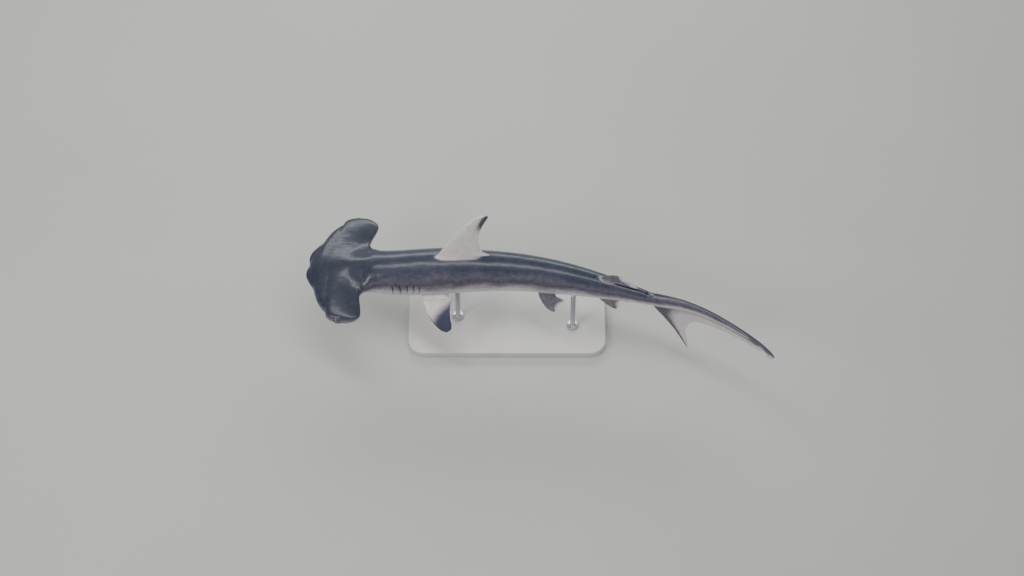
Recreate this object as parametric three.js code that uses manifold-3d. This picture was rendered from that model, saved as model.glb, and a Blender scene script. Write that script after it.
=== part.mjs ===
// Scalloped hammerhead shark, life size, held in a swimming pose on a plain display stand.
// Units are millimetres and +Z is up. The head points to -X, and the shark's left side faces -Y.
// The origin is the centre of the underside of the stand's base.
//
// The animal is drawn straight first, in percent of its total length: s runs back from the front
// of the head, y to the shark's right, and z up from the body's axis. place() then scales it and
// bends it along the spine, so that every node follows the same swimming curve.
import * as THREE from "three";
import { mergeVertices } from "three/addons/utils/BufferGeometryUtils.js";
import Module from "manifold-3d";

const wasm = await Module();
wasm.setup();

// Driving dimensions

const TOTAL_LENGTH = 1200; // snout to tail tip
const AXIS_HEIGHT = 205; // body axis above the floor
const GAP = 0.3; // left between neighbouring solids
const MM = 100 / TOTAL_LENGTH; // one millimetre, in percent of the total length

// Where the body is parted: behind the hammer, behind the gills, at the vent and at the tail's root.
const NECK_STATION = 14.5;
const GILLS_END = 23.6;
const VENT_STATION = 51;
const TAIL_ROOT = 68.9;

// Spine heading at each station, in degrees: minus turns the way back towards the left side.
const SPINE_BEND = [
  [0, -8], [13, -8], [17, -3], [21, 2], [25, 3], [30, 1], [36, -1.5], [42, -5.5], [48, -10],
  [54, -14], [60, -16.5], [66, -18.5], [72, -22.5], [78, -34], [84, -42.5], [92, -49], [100, -57],
];
const CENTRE_STATION = 40; // the station above the middle of the base
const CENTRE_SHIFT = 8; // moves the body to the right, so that its weight is over the base

// Depth of the body above and below its axis: [station, back, belly].
const DEPTHS = [
  [1, 1.2, 1.05], [4, 1.75, 1.5], [8, 2.45, 2.3], [12, 3.2, 3.4], [15, 3.75, 4.2], [20, 4.4, 4.6],
  [26, 4.8, 4.75], [32, 4.65, 4.55], [39, 4.2, 4.15], [48, 3.7, 3.8], [56, 3.0, 3.1],
  [63, 2.2, 2.25], [67.3, 1.7, 1.7], [68.9, 1.5, 1.55],
];

// Half width of the body behind the head: [station, half width].
const WIDTHS = [
  [14.5, 4.4], [20, 4.45], [26, 4.45], [32, 4.05], [39, 3.7], [48, 3.25], [56, 2.6], [63, 1.85], [68.9, 1.15],
];

// The hammer, ring by ring: [station on the midline, sweep of the edge behind it, scallop of the
// margin, half width, thickness]. The edge runs out along the front margin, round the eye and back in.
const HAMMER = [
  [0.45, 0, 0, 0, 0.7], // notch in the middle of the front margin
  [0.55, 0, -0.45, 1.4, 0.75],
  [0.85, 0, -0.65, 2.8, 0.8],
  [1.4, 0, -0.4, 4.3, 0.85],
  [2.1, 0, 0.05, 5.8, 0.9], // shallow outer indentation
  [2.8, 0, -0.05, 7.3, 1],
  [3.5, 0.05, -0.05, 8.8, 1.05],
  [4.2, 0.12, 0.18, 10, 1.1],
  [4.8, 0.3, 0.4, 10.9, 1.1], // notch of the nostril
  [5.3, 0.6, -0.15, 11.7, 1.15],
  [5.8, 1.05, -0.15, 12.4, 1.2],
  [6.5, 1.95, -0.05, 12.75, 1.2], // tip of the hammer, at the eye
  [7.2, 3.1, 0, 12.65, 1.1],
  [7.9, 3.9, 0, 12, 0.9],
  [8.5, 4, 0, 11, 0.7], // rear corner
  [9.3, 3, 0, 9.4, 0.6],
  [10.2, 1.65, 0, 7.8, 0.6],
  [11.1, 0.5, 0, 6.5, 0.65],
  [12.1, 0, 0, 5.45, 0.8],
  [13.3, 0, 0, 4.75, 0.9],
  [14.5, 0, 0, 4.4, 1],
];
const HAMMER_UP = 1.2; // half thickness of the hammer's blade above and below its middle
const HAMMER_DOWN = 1.15;
const NOSE_LENGTH = 2.6; // length over which the front margin rounds off
const HAMMER_DROP = 0.6; // how far the front margin hangs below the axis
const HAMMER_DROOP = 0.5; // how far the tips hang below the middle

const EYE_STATION = 8.1;
const HAMMER_REACH = Math.max(...HAMMER.map((row) => row[3]));
const EYE_RADIUS = 11;
const EYE_FLATNESS = 0.86; // height of the eye over its width
const EYE_SINK = 7.4; // centre of the eye below the hammer's end face
const LID_RADIUS = 9.3;
const LID_THICKNESS = 1.5;
const LID_SINK = 1.2; // middle of the lids below the hammer's end face

const MOUTH_FRONT = 8.9;
const MOUTH_CORNER = 12.2;
const MOUTH_HALF_WIDTH = 2.9;
const MOUTH_GROOVE = 1.2;
const LIP_RADIUS = 2.4;

const NOSTRIL_INNER = 10.3; // distances from the midline
const NOSTRIL_OUTER = 11.7;
const NARIAL_GROOVE_START = 6.0;
const NARIAL_GROOVE_RADIUS = 1.1;

const GILL_STATIONS = [17.3, 18.6, 19.85, 21.05, 22.15];
const GILL_TOPS = [13, 14, 14, 13, 12]; // degrees above and below the side, as seen from behind
const GILL_BOTTOMS = [-26, -27, -27, -26, -24];
const GILL_RISE = 1.4; // height of a flap's free edge
const GILL_RECESS = 1.0; // hollow behind the free edge
const GILL_FLAP = 10; // length of a flap
const GILL_SLIT = 1.1;
const GILL_SLIT_DEPTH = 5;

const STAND_BASE = { length: 480, width: 200, thickness: 18, corner: 40, bevel: 2.5 };
const ROD_RADIUS = 6;
const ROD_FOOT_RADIUS = 15;
const ROD_FOOT_HEIGHT = 4;
const ROD_STATIONS = { front: 30, rear: 53.5 };

// Every fin is given by its ribs, from root to tip: [front s, front height, rear s, rear height].
// Heights of the middle fins are measured from the axis, those of paired fins along the fin.
// The first rib lies inside the body, and the third ends in the free rear tip.
const FINS = {
  first_dorsal_fin: {
    ribs: [
      [25.7, 3.6, 34.3, 3.4], [26.0, 4.7, 34.7, 4.9], [26.5, 5.8, 36.6, 5.2], [27.6, 7.8, 35.2, 6.3],
      [29.4, 10.8, 34.45, 9.0], [31.1, 13.6, 34.6, 12.1], [32.7, 15.9, 35.3, 15.0],
      [34.0, 17.3, 36.1, 16.9], [35.0, 17.9, 36.3, 17.7], [35.8, 18.0, 35.8, 18.0],
    ],
    thickness: [0.46, 0.12],
  },
  second_dorsal_fin: {
    ribs: [
      [58.6, 2.0, 61.8, 1.6], [58.9, 2.75, 62.2, 2.45], [59.5, 3.35, 66.8, 2.25], [60.2, 3.9, 64.6, 2.8],
      [60.9, 4.3, 63.4, 3.5], [61.6, 4.55, 63.2, 4.2], [62.6, 4.65, 62.6, 4.65],
    ],
    thickness: [0.26, 0.09],
  },
  anal_fin: {
    ribs: [
      [57.2, -2.2, 62.0, -1.6], [57.5, -2.85, 62.4, -2.45], [58.2, -3.7, 65.7, -2.45],
      [59.3, -4.8, 63.5, -3.2], [60.4, -5.7, 62.8, -4.2], [61.5, -6.3, 62.8, -5.5],
      [62.5, -6.45, 62.5, -6.45],
    ],
    thickness: [0.28, 0.09],
  },
  pectoral_fin: {
    ribs: [
      [22.8, 0.0, 28.0, 0.0], [22.9, 1.3, 28.2, 1.3], [23.05, 2.3, 29.2, 2.0], [23.45, 3.7, 28.6, 3.2],
      [24.0, 5.2, 28.4, 4.7], [24.7, 6.5, 28.5, 6.1], [25.6, 7.6, 28.7, 7.3], [26.6, 8.4, 28.5, 8.2],
      [27.6, 8.7, 27.6, 8.7],
    ],
    thickness: [0.5, 0.12],
    root: [2.7, -2.4], // y and z of the root line, inside the body
    droop: 26, // degrees below the horizontal
    curl: 12, // further degrees of droop at the tip
  },
  pelvic_fin: {
    ribs: [
      [46.4, 0.0, 50.1, 0.0], [46.6, 1.0, 50.4, 1.0], [47.0, 1.8, 52.2, 1.6], [47.8, 2.9, 51.4, 2.5],
      [48.7, 3.8, 51.1, 3.4], [49.7, 4.25, 51.0, 4.1], [50.5, 4.35, 50.5, 4.35],
    ],
    thickness: [0.3, 0.09],
    root: [1.5, -2.7],
    droop: 48,
    curl: 4,
  },
};

// The tail fin's ribs run from the upper tip to the line between the lobes, and on to the lower tip.
const UPPER_LOBE_RIBS = [
  [100, 8.0, 100, 8.0], [99.1, 8.4, 99.7, 7.2], [97.3, 8.25, 98.4, 5.9], [95.5, 7.9, 96.8, 6.2],
  [93.6, 7.45, 95.3, 4.9], [90.0, 6.6, 91.6, 3.6], [85.5, 5.6, 87.2, 1.9], [80.5, 4.5, 83.2, 0.4],
  [75.5, 3.4, 80.2, -1.0], [72.0, 2.65, 78.7, -2.2], [70.0, 2.15, 78.0, -3.1], [69.5, 0.6, 77.6, -3.9],
  [69.5, -0.9, 77.3, -4.9],
];
const LOWER_LOBE_RIBS = [
  [69.5, -0.9, 77.3, -4.9], [70.4, -2.4, 77.2, -6.0], [72.3, -4.4, 77.3, -7.4], [74.7, -7.2, 77.7, -9.2],
  [77.0, -10.3, 78.1, -10.8], [77.9, -11.3, 77.9, -11.3],
];
const LOBE_THICKNESS = [0.42, 0.1]; // half thickness at the root and at either tip

// The tail's stem, the end of the backbone inside the upper lobe: [s, z, half width, half depth].
const TAIL_STEM = [
  [68.9, 0, 1.15, 1.5], [71, 0.35, 1.0, 1.5], [74.5, 1.4, 0.85, 1.4], [79.5, 2.8, 0.62, 1.1],
  [85.5, 4.45, 0.42, 0.75], [91, 5.9, 0.26, 0.45], [94, 6.7, 0.14, 0.22],
];

const EDGE_THICKNESS = 0.3; // least half thickness of a fin

const COLOURS = {
  back: 0x454b60,
  fin: 0xb9adb0,
  eye: 0x14161a,
  base: 0xc9c4ba,
  rod: 0xb4b8bc,
};

// Small mathematics

const radians = THREE.MathUtils.degToRad;
const { clamp, lerp, smoothstep } = THREE.MathUtils;

// A smooth curve through rows of [x, value, ...] that never swings past them.
function curveThrough(rows) {
  const last = rows.length - 1;
  const slope = (i, k) => (rows[i + 1][k] - rows[i][k]) / (rows[i + 1][0] - rows[i][0]);
  const tangents = rows.map((row, i) =>
    row.map((_, k) => {
      if (i === 0) return slope(0, k);
      if (i === last) return slope(last - 1, k);
      const [before, after] = [slope(i - 1, k), slope(i, k)];
      return before * after <= 0 ? 0 : (2 * before * after) / (before + after);
    }),
  );
  return (x) => {
    let i = 0;
    while (i < last - 1 && x > rows[i + 1][0]) i += 1;
    const width = rows[i + 1][0] - rows[i][0];
    const t = clamp((x - rows[i][0]) / width, 0, 1);
    return rows[i].slice(1).map((_, n) => {
      const k = n + 1;
      return (
        rows[i][k] * (1 + 2 * t) * (1 - t) ** 2 +
        rows[i + 1][k] * t * t * (3 - 2 * t) +
        width * t * (1 - t) * (tangents[i][k] * (1 - t) - tangents[i + 1][k] * t)
      );
    });
  };
}

// A rounder curve through rows that are evenly spaced in a parameter from 0 to 1.
function roundCurve(rows) {
  const last = rows.length - 1;
  return (t) => {
    const at = clamp(t, 0, 1) * last;
    const i = Math.min(Math.floor(at), last - 1);
    const f = at - i;
    return rows[i].map((_, k) => {
      const [b, c] = [rows[i][k], rows[i + 1][k]];
      const a = i > 0 ? rows[i - 1][k] : 2 * b - c;
      const d = i < last - 1 ? rows[i + 2][k] : 2 * c - b;
      return b + 0.5 * f * (c - a + f * (2 * a - 5 * b + 4 * c - d + f * (3 * (b - c) + d - a)));
    });
  };
}

const steps = (from, to, count) =>
  Array.from({ length: count + 1 }, (_, i) => lerp(from, to, i / count));

// The pose

const SPINE_STEP = 0.1;
const heading = curveThrough(SPINE_BEND);
const spine = [{ x: 0, y: 0, angle: radians(heading(0)[0]) }];
for (let s = SPINE_STEP; s <= 103; s += SPINE_STEP) {
  const before = spine[spine.length - 1];
  const middle = radians(heading(s - SPINE_STEP / 2)[0]);
  spine.push({
    x: before.x + (Math.cos(middle) * SPINE_STEP) / MM,
    y: before.y + (Math.sin(middle) * SPINE_STEP) / MM,
    angle: radians(heading(s)[0]),
  });
}
const centre = spine[Math.round(CENTRE_STATION / SPINE_STEP)];

// A point of the straight animal, in its place in the pose.
function place(s, y, z) {
  const at = clamp(s / SPINE_STEP, 0, spine.length - 1.001);
  const i = Math.floor(at);
  const [a, b] = [spine[i], spine[i + 1]];
  const angle = lerp(a.angle, b.angle, at - i);
  return new THREE.Vector3(
    lerp(a.x, b.x, at - i) - centre.x - (y / MM) * Math.sin(angle),
    lerp(a.y, b.y, at - i) - centre.y + CENTRE_SHIFT + (y / MM) * Math.cos(angle),
    AXIS_HEIGHT + z / MM,
  );
}

// Solids

function toSolid(geometry) {
  const bare = new THREE.BufferGeometry().setAttribute("position", geometry.getAttribute("position"));
  if (geometry.index) bare.setIndex(geometry.index);
  const merged = mergeVertices(bare, 1e-4);
  const corners = merged.index.array;
  const kept = [];
  for (let i = 0; i < corners.length; i += 3) {
    const [a, b, c] = corners.slice(i, i + 3);
    if (a !== b && b !== c && c !== a) kept.push(a, b, c);
  }
  const vertProperties = new Float32Array(merged.getAttribute("position").array);
  const made = (triVerts) => new wasm.Manifold(new wasm.Mesh({ numProp: 3, vertProperties, triVerts }));
  const solid = made(new Uint32Array(kept));
  return solid.volume() > 0 ? solid : made(new Uint32Array(kept).reverse());
}

// The largest closed surface of a solid, as a geometry.
function toGeometry(solid) {
  const largest = solid.decompose().reduce((a, b) => (b.volume() > a.volume() ? b : a));
  const mesh = largest.getMesh();
  const geometry = new THREE.BufferGeometry();
  geometry.setAttribute("position", new THREE.BufferAttribute(new Float32Array(mesh.vertProperties), 3));
  geometry.setIndex(new THREE.BufferAttribute(new Uint32Array(mesh.triVerts), 1));
  geometry.computeVertexNormals();
  return geometry;
}

// A closed solid through rings of points, with a flat end or a pole at each end.
// Each quad is split along its shorter diagonal. In a thin fin the two halves of a ring are split
// as mirror images instead, so that its faces stay apart.
function loft(rings, thin = false) {
  const n = rings[0].length;
  const points = rings.flat();
  const index = [];
  for (let i = 0; i < rings.length - 1; i += 1) {
    for (let j = 0; j < n; j += 1) {
      const a = i * n + j;
      const b = i * n + ((j + 1) % n);
      const [c, d] = [a + n, b + n];
      const shorter = points[a].distanceToSquared(points[d]) < points[b].distanceToSquared(points[c]);
      index.push(...((thin ? j < n / 2 : shorter) ? [a, b, d, a, d, c] : [a, b, c, b, d, c]));
    }
  }
  for (const [ring, flip] of [[0, true], [rings.length - 1, false]]) {
    const middle = points.length;
    points.push(rings[ring].reduce((sum, p) => sum.add(p), new THREE.Vector3()).divideScalar(n));
    for (let j = 0; j < n; j += 1) {
      const [a, b] = [ring * n + j, ring * n + ((j + 1) % n)];
      index.push(...(flip ? [middle, b, a] : [middle, a, b]));
    }
  }
  const geometry = new THREE.BufferGeometry().setFromPoints(points);
  geometry.setIndex(index);
  return toSolid(geometry);
}

// A tube of even thickness along a row of points.
function tube(points, radius, sides) {
  const path = new THREE.CatmullRomCurve3(points);
  const section = new THREE.Shape().absarc(0, 0, radius, 0, 2 * Math.PI);
  const round = new THREE.Shape(section.getPoints(sides).slice(0, -1));
  return toSolid(new THREE.ExtrudeGeometry(round, { steps: 2 * points.length, extrudePath: path }));
}

function join(solids) {
  return solids.reduce((a, b) => a.add(b));
}

function cut(solid, cutters) {
  return cutters.reduce((left, cutter) => left.subtract(cutter), solid);
}

// The body's surface

const depths = curveThrough(DEPTHS);
const widths = curveThrough(WIDTHS);
const hammer = roundCurve(HAMMER);

// The ring of the hammer at t, from 0 at the front to 1 at the neck.
function hammerRing(t) {
  const [mid, sweep, scallop, half, thickness] = hammer(t);
  return { mid, sweep, scallop, half: Math.max(half, 0), thickness };
}

// The ring of the body behind the head.
function bodyRing(s) {
  return { mid: s, sweep: 0, scallop: 0, half: widths(s)[0], thickness: 1 };
}

// Height of the middle of the hammer's blade; behind the head it is the axis.
function hammerMiddle(s, y) {
  const droop = HAMMER_DROOP * (Math.max(0, Math.abs(y) - 4.5) / 9) ** 1.5;
  return -HAMMER_DROP * (1 - smoothstep(s, 2, 15)) - droop;
}

// A point of a ring, at an angle that starts at the right edge and turns over the back.
function ringPoint(ring, angle) {
  const across = smoothstep(ring.half, 4.3, 9);
  const tip = smoothstep(ring.mid, 3, 7) * (1 - smoothstep(ring.mid, 7.2, 10));
  const gather = 1 + 0.5 * across;
  const blunt = 2.1 + 0.6 * across + 2.2 * tip;
  const side = Math.sign(Math.cos(angle));
  const share = Math.abs(Math.cos(angle)) ** gather;
  const rim = Math.max(0, 1 - share ** blunt) ** (1 / blunt);
  const s = ring.mid + ring.sweep * share ** 1.5 + ring.scallop * share ** 6;
  const y = side * ring.half * share;
  const [back, belly] = depths(s);
  const above = Math.sin(angle) >= 0;
  const blade = (above ? HAMMER_UP : HAMMER_DOWN) * ring.thickness;
  const spread = 3.3 + 40 * smoothstep(s, 10.5, 17) ** 2;
  const bulge = Math.exp(-0.7 * (y / spread) ** 2);
  const blunting = clamp((ring.mid - HAMMER[0][0]) / NOSE_LENGTH, 0, 1);
  const nose = Math.sqrt(1 - (1 - blunting) ** 2);
  const height = (blade + ((above ? back : belly) - blade) * bulge) * nose * rim;
  return [s, y, hammerMiddle(s, y) + (above ? height : -height)];
}

// The same point of the body behind the head, moved outwards by lift.
function skinPoint(s, angle, lift = 0) {
  const [, y, z] = ringPoint(bodyRing(s), angle);
  const step = 0.02;
  const [, y1, z1] = ringPoint(bodyRing(s), angle + step);
  const [, y0, z0] = ringPoint(bodyRing(s), angle - step);
  const length = Math.hypot(y1 - y0, z1 - z0);
  return [s, y + (lift * (z1 - z0)) / length, z - (lift * (y1 - y0)) / length];
}

const BODY_SIDES = 36;
const ringAngles = steps(0, 2 * Math.PI, BODY_SIDES).slice(0, -1);

const bodyRings = (stations, lift) =>
  stations.map((s) => ringAngles.map((angle) => place(...skinPoint(s, angle, lift(s, angle)))));

// Part of the body between two stations, short of each by half the gap.
function bodyStations(from, to, count) {
  return steps(from + (GAP / 2) * MM, to - (GAP / 2) * MM, count);
}

const torsoStations = bodyStations(GILLS_END, VENT_STATION, 12);
const tailStations = bodyStations(VENT_STATION, TAIL_ROOT, 10);

// Head

const HEAD_RINGS = 27;

function headPoint(t, angle) {
  return place(...ringPoint(hammerRing(t), angle));
}

// The head's surface below or above a place on its plan, found by halving along the rings.
function headSurface(s, y, above) {
  let [low, high] = [0, 1];
  const angleAt = (ring) => {
    const gather = 1 + 0.5 * smoothstep(ring.half, 4.3, 9);
    const share = Math.min(1, Math.abs(y) / Math.max(ring.half, 1e-6)) ** (1 / gather);
    const turn = Math.acos(Math.sign(y || 1) * share);
    return above ? turn : -turn;
  };
  for (let i = 0; i < 30; i += 1) {
    const middle = (low + high) / 2;
    const ring = hammerRing(middle);
    if (ring.half < Math.abs(y) || ringPoint(ring, angleAt(ring))[0] < s) low = middle;
    else high = middle;
  }
  const ring = hammerRing(high);
  return ringPoint(ring, angleAt(ring));
}

function eyeCentre(side, sink) {
  return place(EYE_STATION, side * (HAMMER_REACH - sink * MM), hammerMiddle(EYE_STATION, HAMMER_REACH));
}

function headSolid() {
  const stations = steps(0, 1, HEAD_RINGS).map((t) => t ** 0.92);
  const rings = stations.map((t) => ringAngles.map((angle) => headPoint(t, angle)));
  const flat = place(NECK_STATION - (GAP / 2) * MM, 0, 0);
  const back = place(NECK_STATION, 0, 0).sub(flat).normalize();
  const skull = loft(rings).trimByPlane([-back.x, -back.y, -back.z], -back.dot(flat));
  const joined = [skull, lowerLip()];
  const cutters = [mouthGroove()];
  for (const side of [-1, 1]) {
    joined.push(eyelid(side));
    cutters.push(ball(eyeCentre(side, EYE_SINK), EYE_RADIUS + GAP), nostril(side), narialGroove(side));
  }
  return cut(join(joined), cutters);
}

function ball(middle, radius) {
  return toSolid(new THREE.SphereGeometry(radius, 14, 9).scale(1, 1, EYE_FLATNESS).translate(...middle));
}

// The rim of the lids, a raised ring round the eye.
function eyelid(side) {
  const ring = new THREE.TorusGeometry(LID_RADIUS, LID_THICKNESS, 6, 16);
  const outward = place(EYE_STATION, side * 20, 0).sub(place(EYE_STATION, 0, 0)).normalize();
  ring.applyQuaternion(new THREE.Quaternion().setFromUnitVectors(new THREE.Vector3(0, 0, 1), outward));
  return toSolid(ring.scale(1, 1, EYE_FLATNESS).translate(...eyeCentre(side, LID_SINK)));
}

// Points along the arch of the mouth, on the underside; inset moves them towards the throat.
function mouthArch(inset) {
  return steps(-1, 1, 8).map((k) => {
    const y = k * (MOUTH_HALF_WIDTH - inset * MM);
    const s = lerp(MOUTH_FRONT, MOUTH_CORNER, Math.abs(k) ** 2.2) + inset * MM;
    return headSurface(s, y, false);
  });
}

function mouthGroove() {
  return tube(mouthArch(0).map(([s, y, z]) => place(s, y, z)), MOUTH_GROOVE, 6);
}

function lowerLip() {
  return tube(mouthArch(3.2).map(([s, y, z]) => place(s, y, z + 1.3 * MM)), LIP_RADIUS, 8);
}

// Points along the front margin between two distances from the midline, just under its edge.
function frontMargin(side, from, to, count, inset, drop) {
  const outer = HAMMER.findIndex((row) => row[3] === HAMMER_REACH) / (HAMMER.length - 1);
  return steps(from, to, count).map((half) => {
    let [low, high] = [0, outer];
    for (let i = 0; i < 30; i += 1) {
      const middle = (low + high) / 2;
      if (hammerRing(middle).half < half) low = middle;
      else high = middle;
    }
    const ring = hammerRing(low);
    const edge = ring.mid + ring.sweep + ring.scallop;
    return place(edge + inset * MM, side * half, hammerMiddle(edge, half) - drop * MM);
  });
}

function nostril(side) {
  return tube(frontMargin(side, NOSTRIL_INNER, NOSTRIL_OUTER, 3, 1.5, 2.5), 2.6, 8);
}

function narialGroove(side) {
  const path = frontMargin(side, NARIAL_GROOVE_START, NOSTRIL_INNER, 4, 0.6, 2);
  return tube(path, NARIAL_GROOVE_RADIUS, 5);
}

// Gills

// How far a slit reaches round the side at an angle, from 0 outside it to 1 in its middle.
function gillShare(index, angle) {
  const height = THREE.MathUtils.radToDeg(Math.asin(Math.sin(angle)));
  const [low, high] = [GILL_BOTTOMS[index], GILL_TOPS[index]];
  return smoothstep(height, low - 6, low + 7) * (1 - smoothstep(height, high - 7, high + 6));
}

// Each flap rises to its free edge and drops behind it.
function gillLift(s, angle) {
  let lift = 0;
  GILL_STATIONS.forEach((station, index) => {
    const ahead = (station - s) / MM;
    const share = gillShare(index, angle);
    if (ahead >= 0 && ahead < GILL_FLAP) lift += GILL_RISE * share * (1 - ahead / GILL_FLAP) ** 1.5;
    if (ahead < 0 && ahead > -4) lift -= GILL_RECESS * share * (1 + ahead / 4);
  });
  return lift * MM;
}

// A thin curved blade that opens the slit forwards, under the flap.
function slitCutter(index, side) {
  const [low, high] = [GILL_BOTTOMS[index], GILL_TOPS[index]];
  const station = GILL_STATIONS[index];
  const rings = steps(low - 1, high + 1, 5).map((height) => {
    const angle = side > 0 ? radians(height) : Math.PI - radians(height);
    const depth = GILL_SLIT_DEPTH * Math.sin((Math.PI * (height - low + 4)) / (high - low + 8));
    const at = (ahead, lift) => place(...skinPoint(station - ahead * MM, angle, lift * MM));
    return [
      at(-0.35, GILL_RISE + 1), at(-0.35 - GILL_SLIT, GILL_RISE + 1),
      at(depth * 0.7 - GILL_SLIT, -depth), at(depth * 0.7, -depth),
    ];
  });
  return loft(rings);
}

function gillSolid() {
  const around = [GILL_FLAP - 1, 4, 0.02, -0.5, -4];
  const edges = [NECK_STATION + (GAP / 2) * MM, 15.5];
  GILL_STATIONS.forEach((station) => edges.push(...around.map((ahead) => station - ahead * MM)));
  const stations = [...new Set(edges), GILLS_END - (GAP / 2) * MM].sort((a, b) => a - b);
  const cutters = GILL_STATIONS.flatMap((_, index) => [slitCutter(index, 1), slitCutter(index, -1)]);
  return cut(loft(bodyRings(stations, gillLift)), cutters);
}

// Fins

const FIN_SIDES = 16;

// Share of the full thickness across a fin, from its front edge at 0 to its rear edge at 1.
function finProfile(c) {
  return 10 * (0.2969 * Math.sqrt(c) - 0.126 * c - 0.3516 * c ** 2 + 0.2843 * c ** 3 - 0.1036 * c ** 4);
}

// A fin from its ribs. spot(s, height, out) gives the place of a point, out being across the fin.
function finSolid(ribs, count, halfThickness, spot) {
  const rib = roundCurve(ribs);
  const angles = steps(0, 2 * Math.PI, FIN_SIDES).slice(0, -1);
  const rings = steps(0, 1, count).map((t) => {
    const [s0, h0, s1, h1] = rib(t);
    return angles.map((angle) => {
      const c = (1 - Math.cos(angle)) / 2;
      const thick = Math.max(halfThickness(t) * finProfile(c), EDGE_THICKNESS * MM);
      const out = Math.abs(Math.sin(angle)) < 1e-9 ? 0 : Math.sign(Math.sin(angle)) * thick;
      return spot(lerp(s0, s1, c), lerp(h0, h1, c), out);
    });
  });
  return loft(rings, true);
}

function middleFin({ ribs, thickness }) {
  return finSolid(ribs, 14, (t) => lerp(...thickness, t), (s, z, out) => place(s, out, z));
}

function pairedFin({ ribs, thickness, root, droop, curl }, side) {
  const reach = ribs[ribs.length - 1][1];
  const spot = (s, r, out) => {
    const angle = radians(droop + curl * (r / reach) ** 2);
    const y = root[0] + r * Math.cos(angle) + out * Math.sin(angle);
    const z = root[1] - r * Math.sin(angle) + out * Math.cos(angle);
    return place(s, side * y, z);
  };
  return finSolid(ribs, 14, (t) => lerp(...thickness, t), spot);
}

// The tail's stem, as one solid that is larger all round by lift.
function tailStem(lift) {
  const stem = curveThrough(TAIL_STEM);
  return loft(steps(TAIL_ROOT + (GAP / 2) * MM, 94, 11).map((s) => {
    const [z, halfWidth, halfDepth] = stem(s);
    return ringAngles.map((angle) => {
      const y = (halfWidth + lift * MM) * Math.cos(angle);
      return place(s, y, z + (halfDepth + lift * MM) * Math.sin(angle));
    });
  }));
}

// The lobes of the tail fin part along their shared rib, half the gap to either side of it.
function upperLobe() {
  const half = (t) => lerp(...LOBE_THICKNESS, 1 - t);
  const blade = finSolid(UPPER_LOBE_RIBS, 22, half, (s, z, out) => place(s, out, z + (GAP / 2) * MM));
  return join([blade, tailStem(0)]);
}

function lowerLobe() {
  const half = (t) => lerp(...LOBE_THICKNESS, t);
  const blade = finSolid(LOWER_LOBE_RIBS, 10, half, (s, z, out) => place(s, out, z - (GAP / 2) * MM));
  return cut(blade, [tailStem(GAP)]);
}

// Stand

function baseSolid() {
  const { length, width, thickness, corner, bevel } = STAND_BASE;
  const [x, y] = [length / 2 - bevel, width / 2 - bevel];
  const radius = corner - bevel;
  const plan = new THREE.Shape();
  plan.moveTo(-x + radius, -y);
  plan.lineTo(x - radius, -y).absarc(x - radius, -y + radius, radius, -Math.PI / 2, 0);
  plan.lineTo(x, y - radius).absarc(x - radius, y - radius, radius, 0, Math.PI / 2);
  plan.lineTo(-x + radius, y).absarc(-x + radius, y - radius, radius, Math.PI / 2, Math.PI);
  plan.lineTo(-x, -y + radius).absarc(-x + radius, -y + radius, radius, Math.PI, 1.5 * Math.PI);
  const options = {
    depth: thickness - 2 * bevel, bevelThickness: bevel, bevelSize: bevel, bevelSegments: 2, curveSegments: 6,
  };
  return toSolid(new THREE.ExtrudeGeometry(plan, options).translate(0, 0, bevel));
}

// A rod with a round foot, cut off where it meets the belly.
function rodSolid(station) {
  const bottom = STAND_BASE.thickness + GAP;
  const foot = bottom + ROD_FOOT_HEIGHT;
  const profile = [
    [0, bottom], [ROD_FOOT_RADIUS, bottom], [ROD_FOOT_RADIUS, foot - 1], [ROD_FOOT_RADIUS - 1, foot],
    [ROD_RADIUS, foot], [ROD_RADIUS, AXIS_HEIGHT], [0, AXIS_HEIGHT],
  ];
  const at = place(station, 0, 0);
  const rod = new THREE.LatheGeometry(profile.map(([r, z]) => new THREE.Vector2(r, z)), 20);
  return toSolid(rod.rotateX(Math.PI / 2).translate(at.x, at.y, 0));
}

// The shark

const shark = new THREE.Group();

function addPart(name, solid, colour, roughness, metalness = 0) {
  const material = new THREE.MeshStandardMaterial({ color: colour, roughness, metalness });
  const mesh = new THREE.Mesh(toGeometry(solid), material);
  mesh.name = name;
  shark.add(mesh);
}

const flat = () => 0;
const gap = () => GAP * MM;
// The body a gap larger all round: what grows from it is cut back to this.
const clearance = loft(bodyRings([15, 19, 21.5, ...torsoStations, ...tailStations], gap));

addPart("head", headSolid(), COLOURS.back, 0.4);
addPart("gill_region", gillSolid(), COLOURS.back, 0.4);
addPart("torso", loft(bodyRings(torsoStations, flat)), COLOURS.back, 0.4);
addPart("tail_stock", loft(bodyRings(tailStations, flat)), COLOURS.back, 0.4);
addPart("tail_fin_upper_lobe", upperLobe(), COLOURS.back, 0.45);
addPart("tail_fin_lower_lobe", lowerLobe(), COLOURS.back, 0.45);
for (const name of ["first_dorsal_fin", "second_dorsal_fin", "anal_fin"]) {
  addPart(name, cut(middleFin(FINS[name]), [clearance]), COLOURS.fin, 0.45);
}
for (const [suffix, side] of [["left", -1], ["right", 1]]) {
  addPart(`eye_${suffix}`, ball(eyeCentre(side, EYE_SINK), EYE_RADIUS), COLOURS.eye, 0.1);
  for (const name of ["pectoral_fin", "pelvic_fin"]) {
    addPart(`${name}_${suffix}`, cut(pairedFin(FINS[name], side), [clearance]), COLOURS.fin, 0.45);
  }
}
addPart("stand_base", baseSolid(), COLOURS.base, 0.5);
for (const [end, station] of Object.entries(ROD_STATIONS)) {
  addPart(`stand_rod_${end}`, cut(rodSolid(station), [clearance]), COLOURS.rod, 0.3, 1);
}

export default shark;
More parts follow.
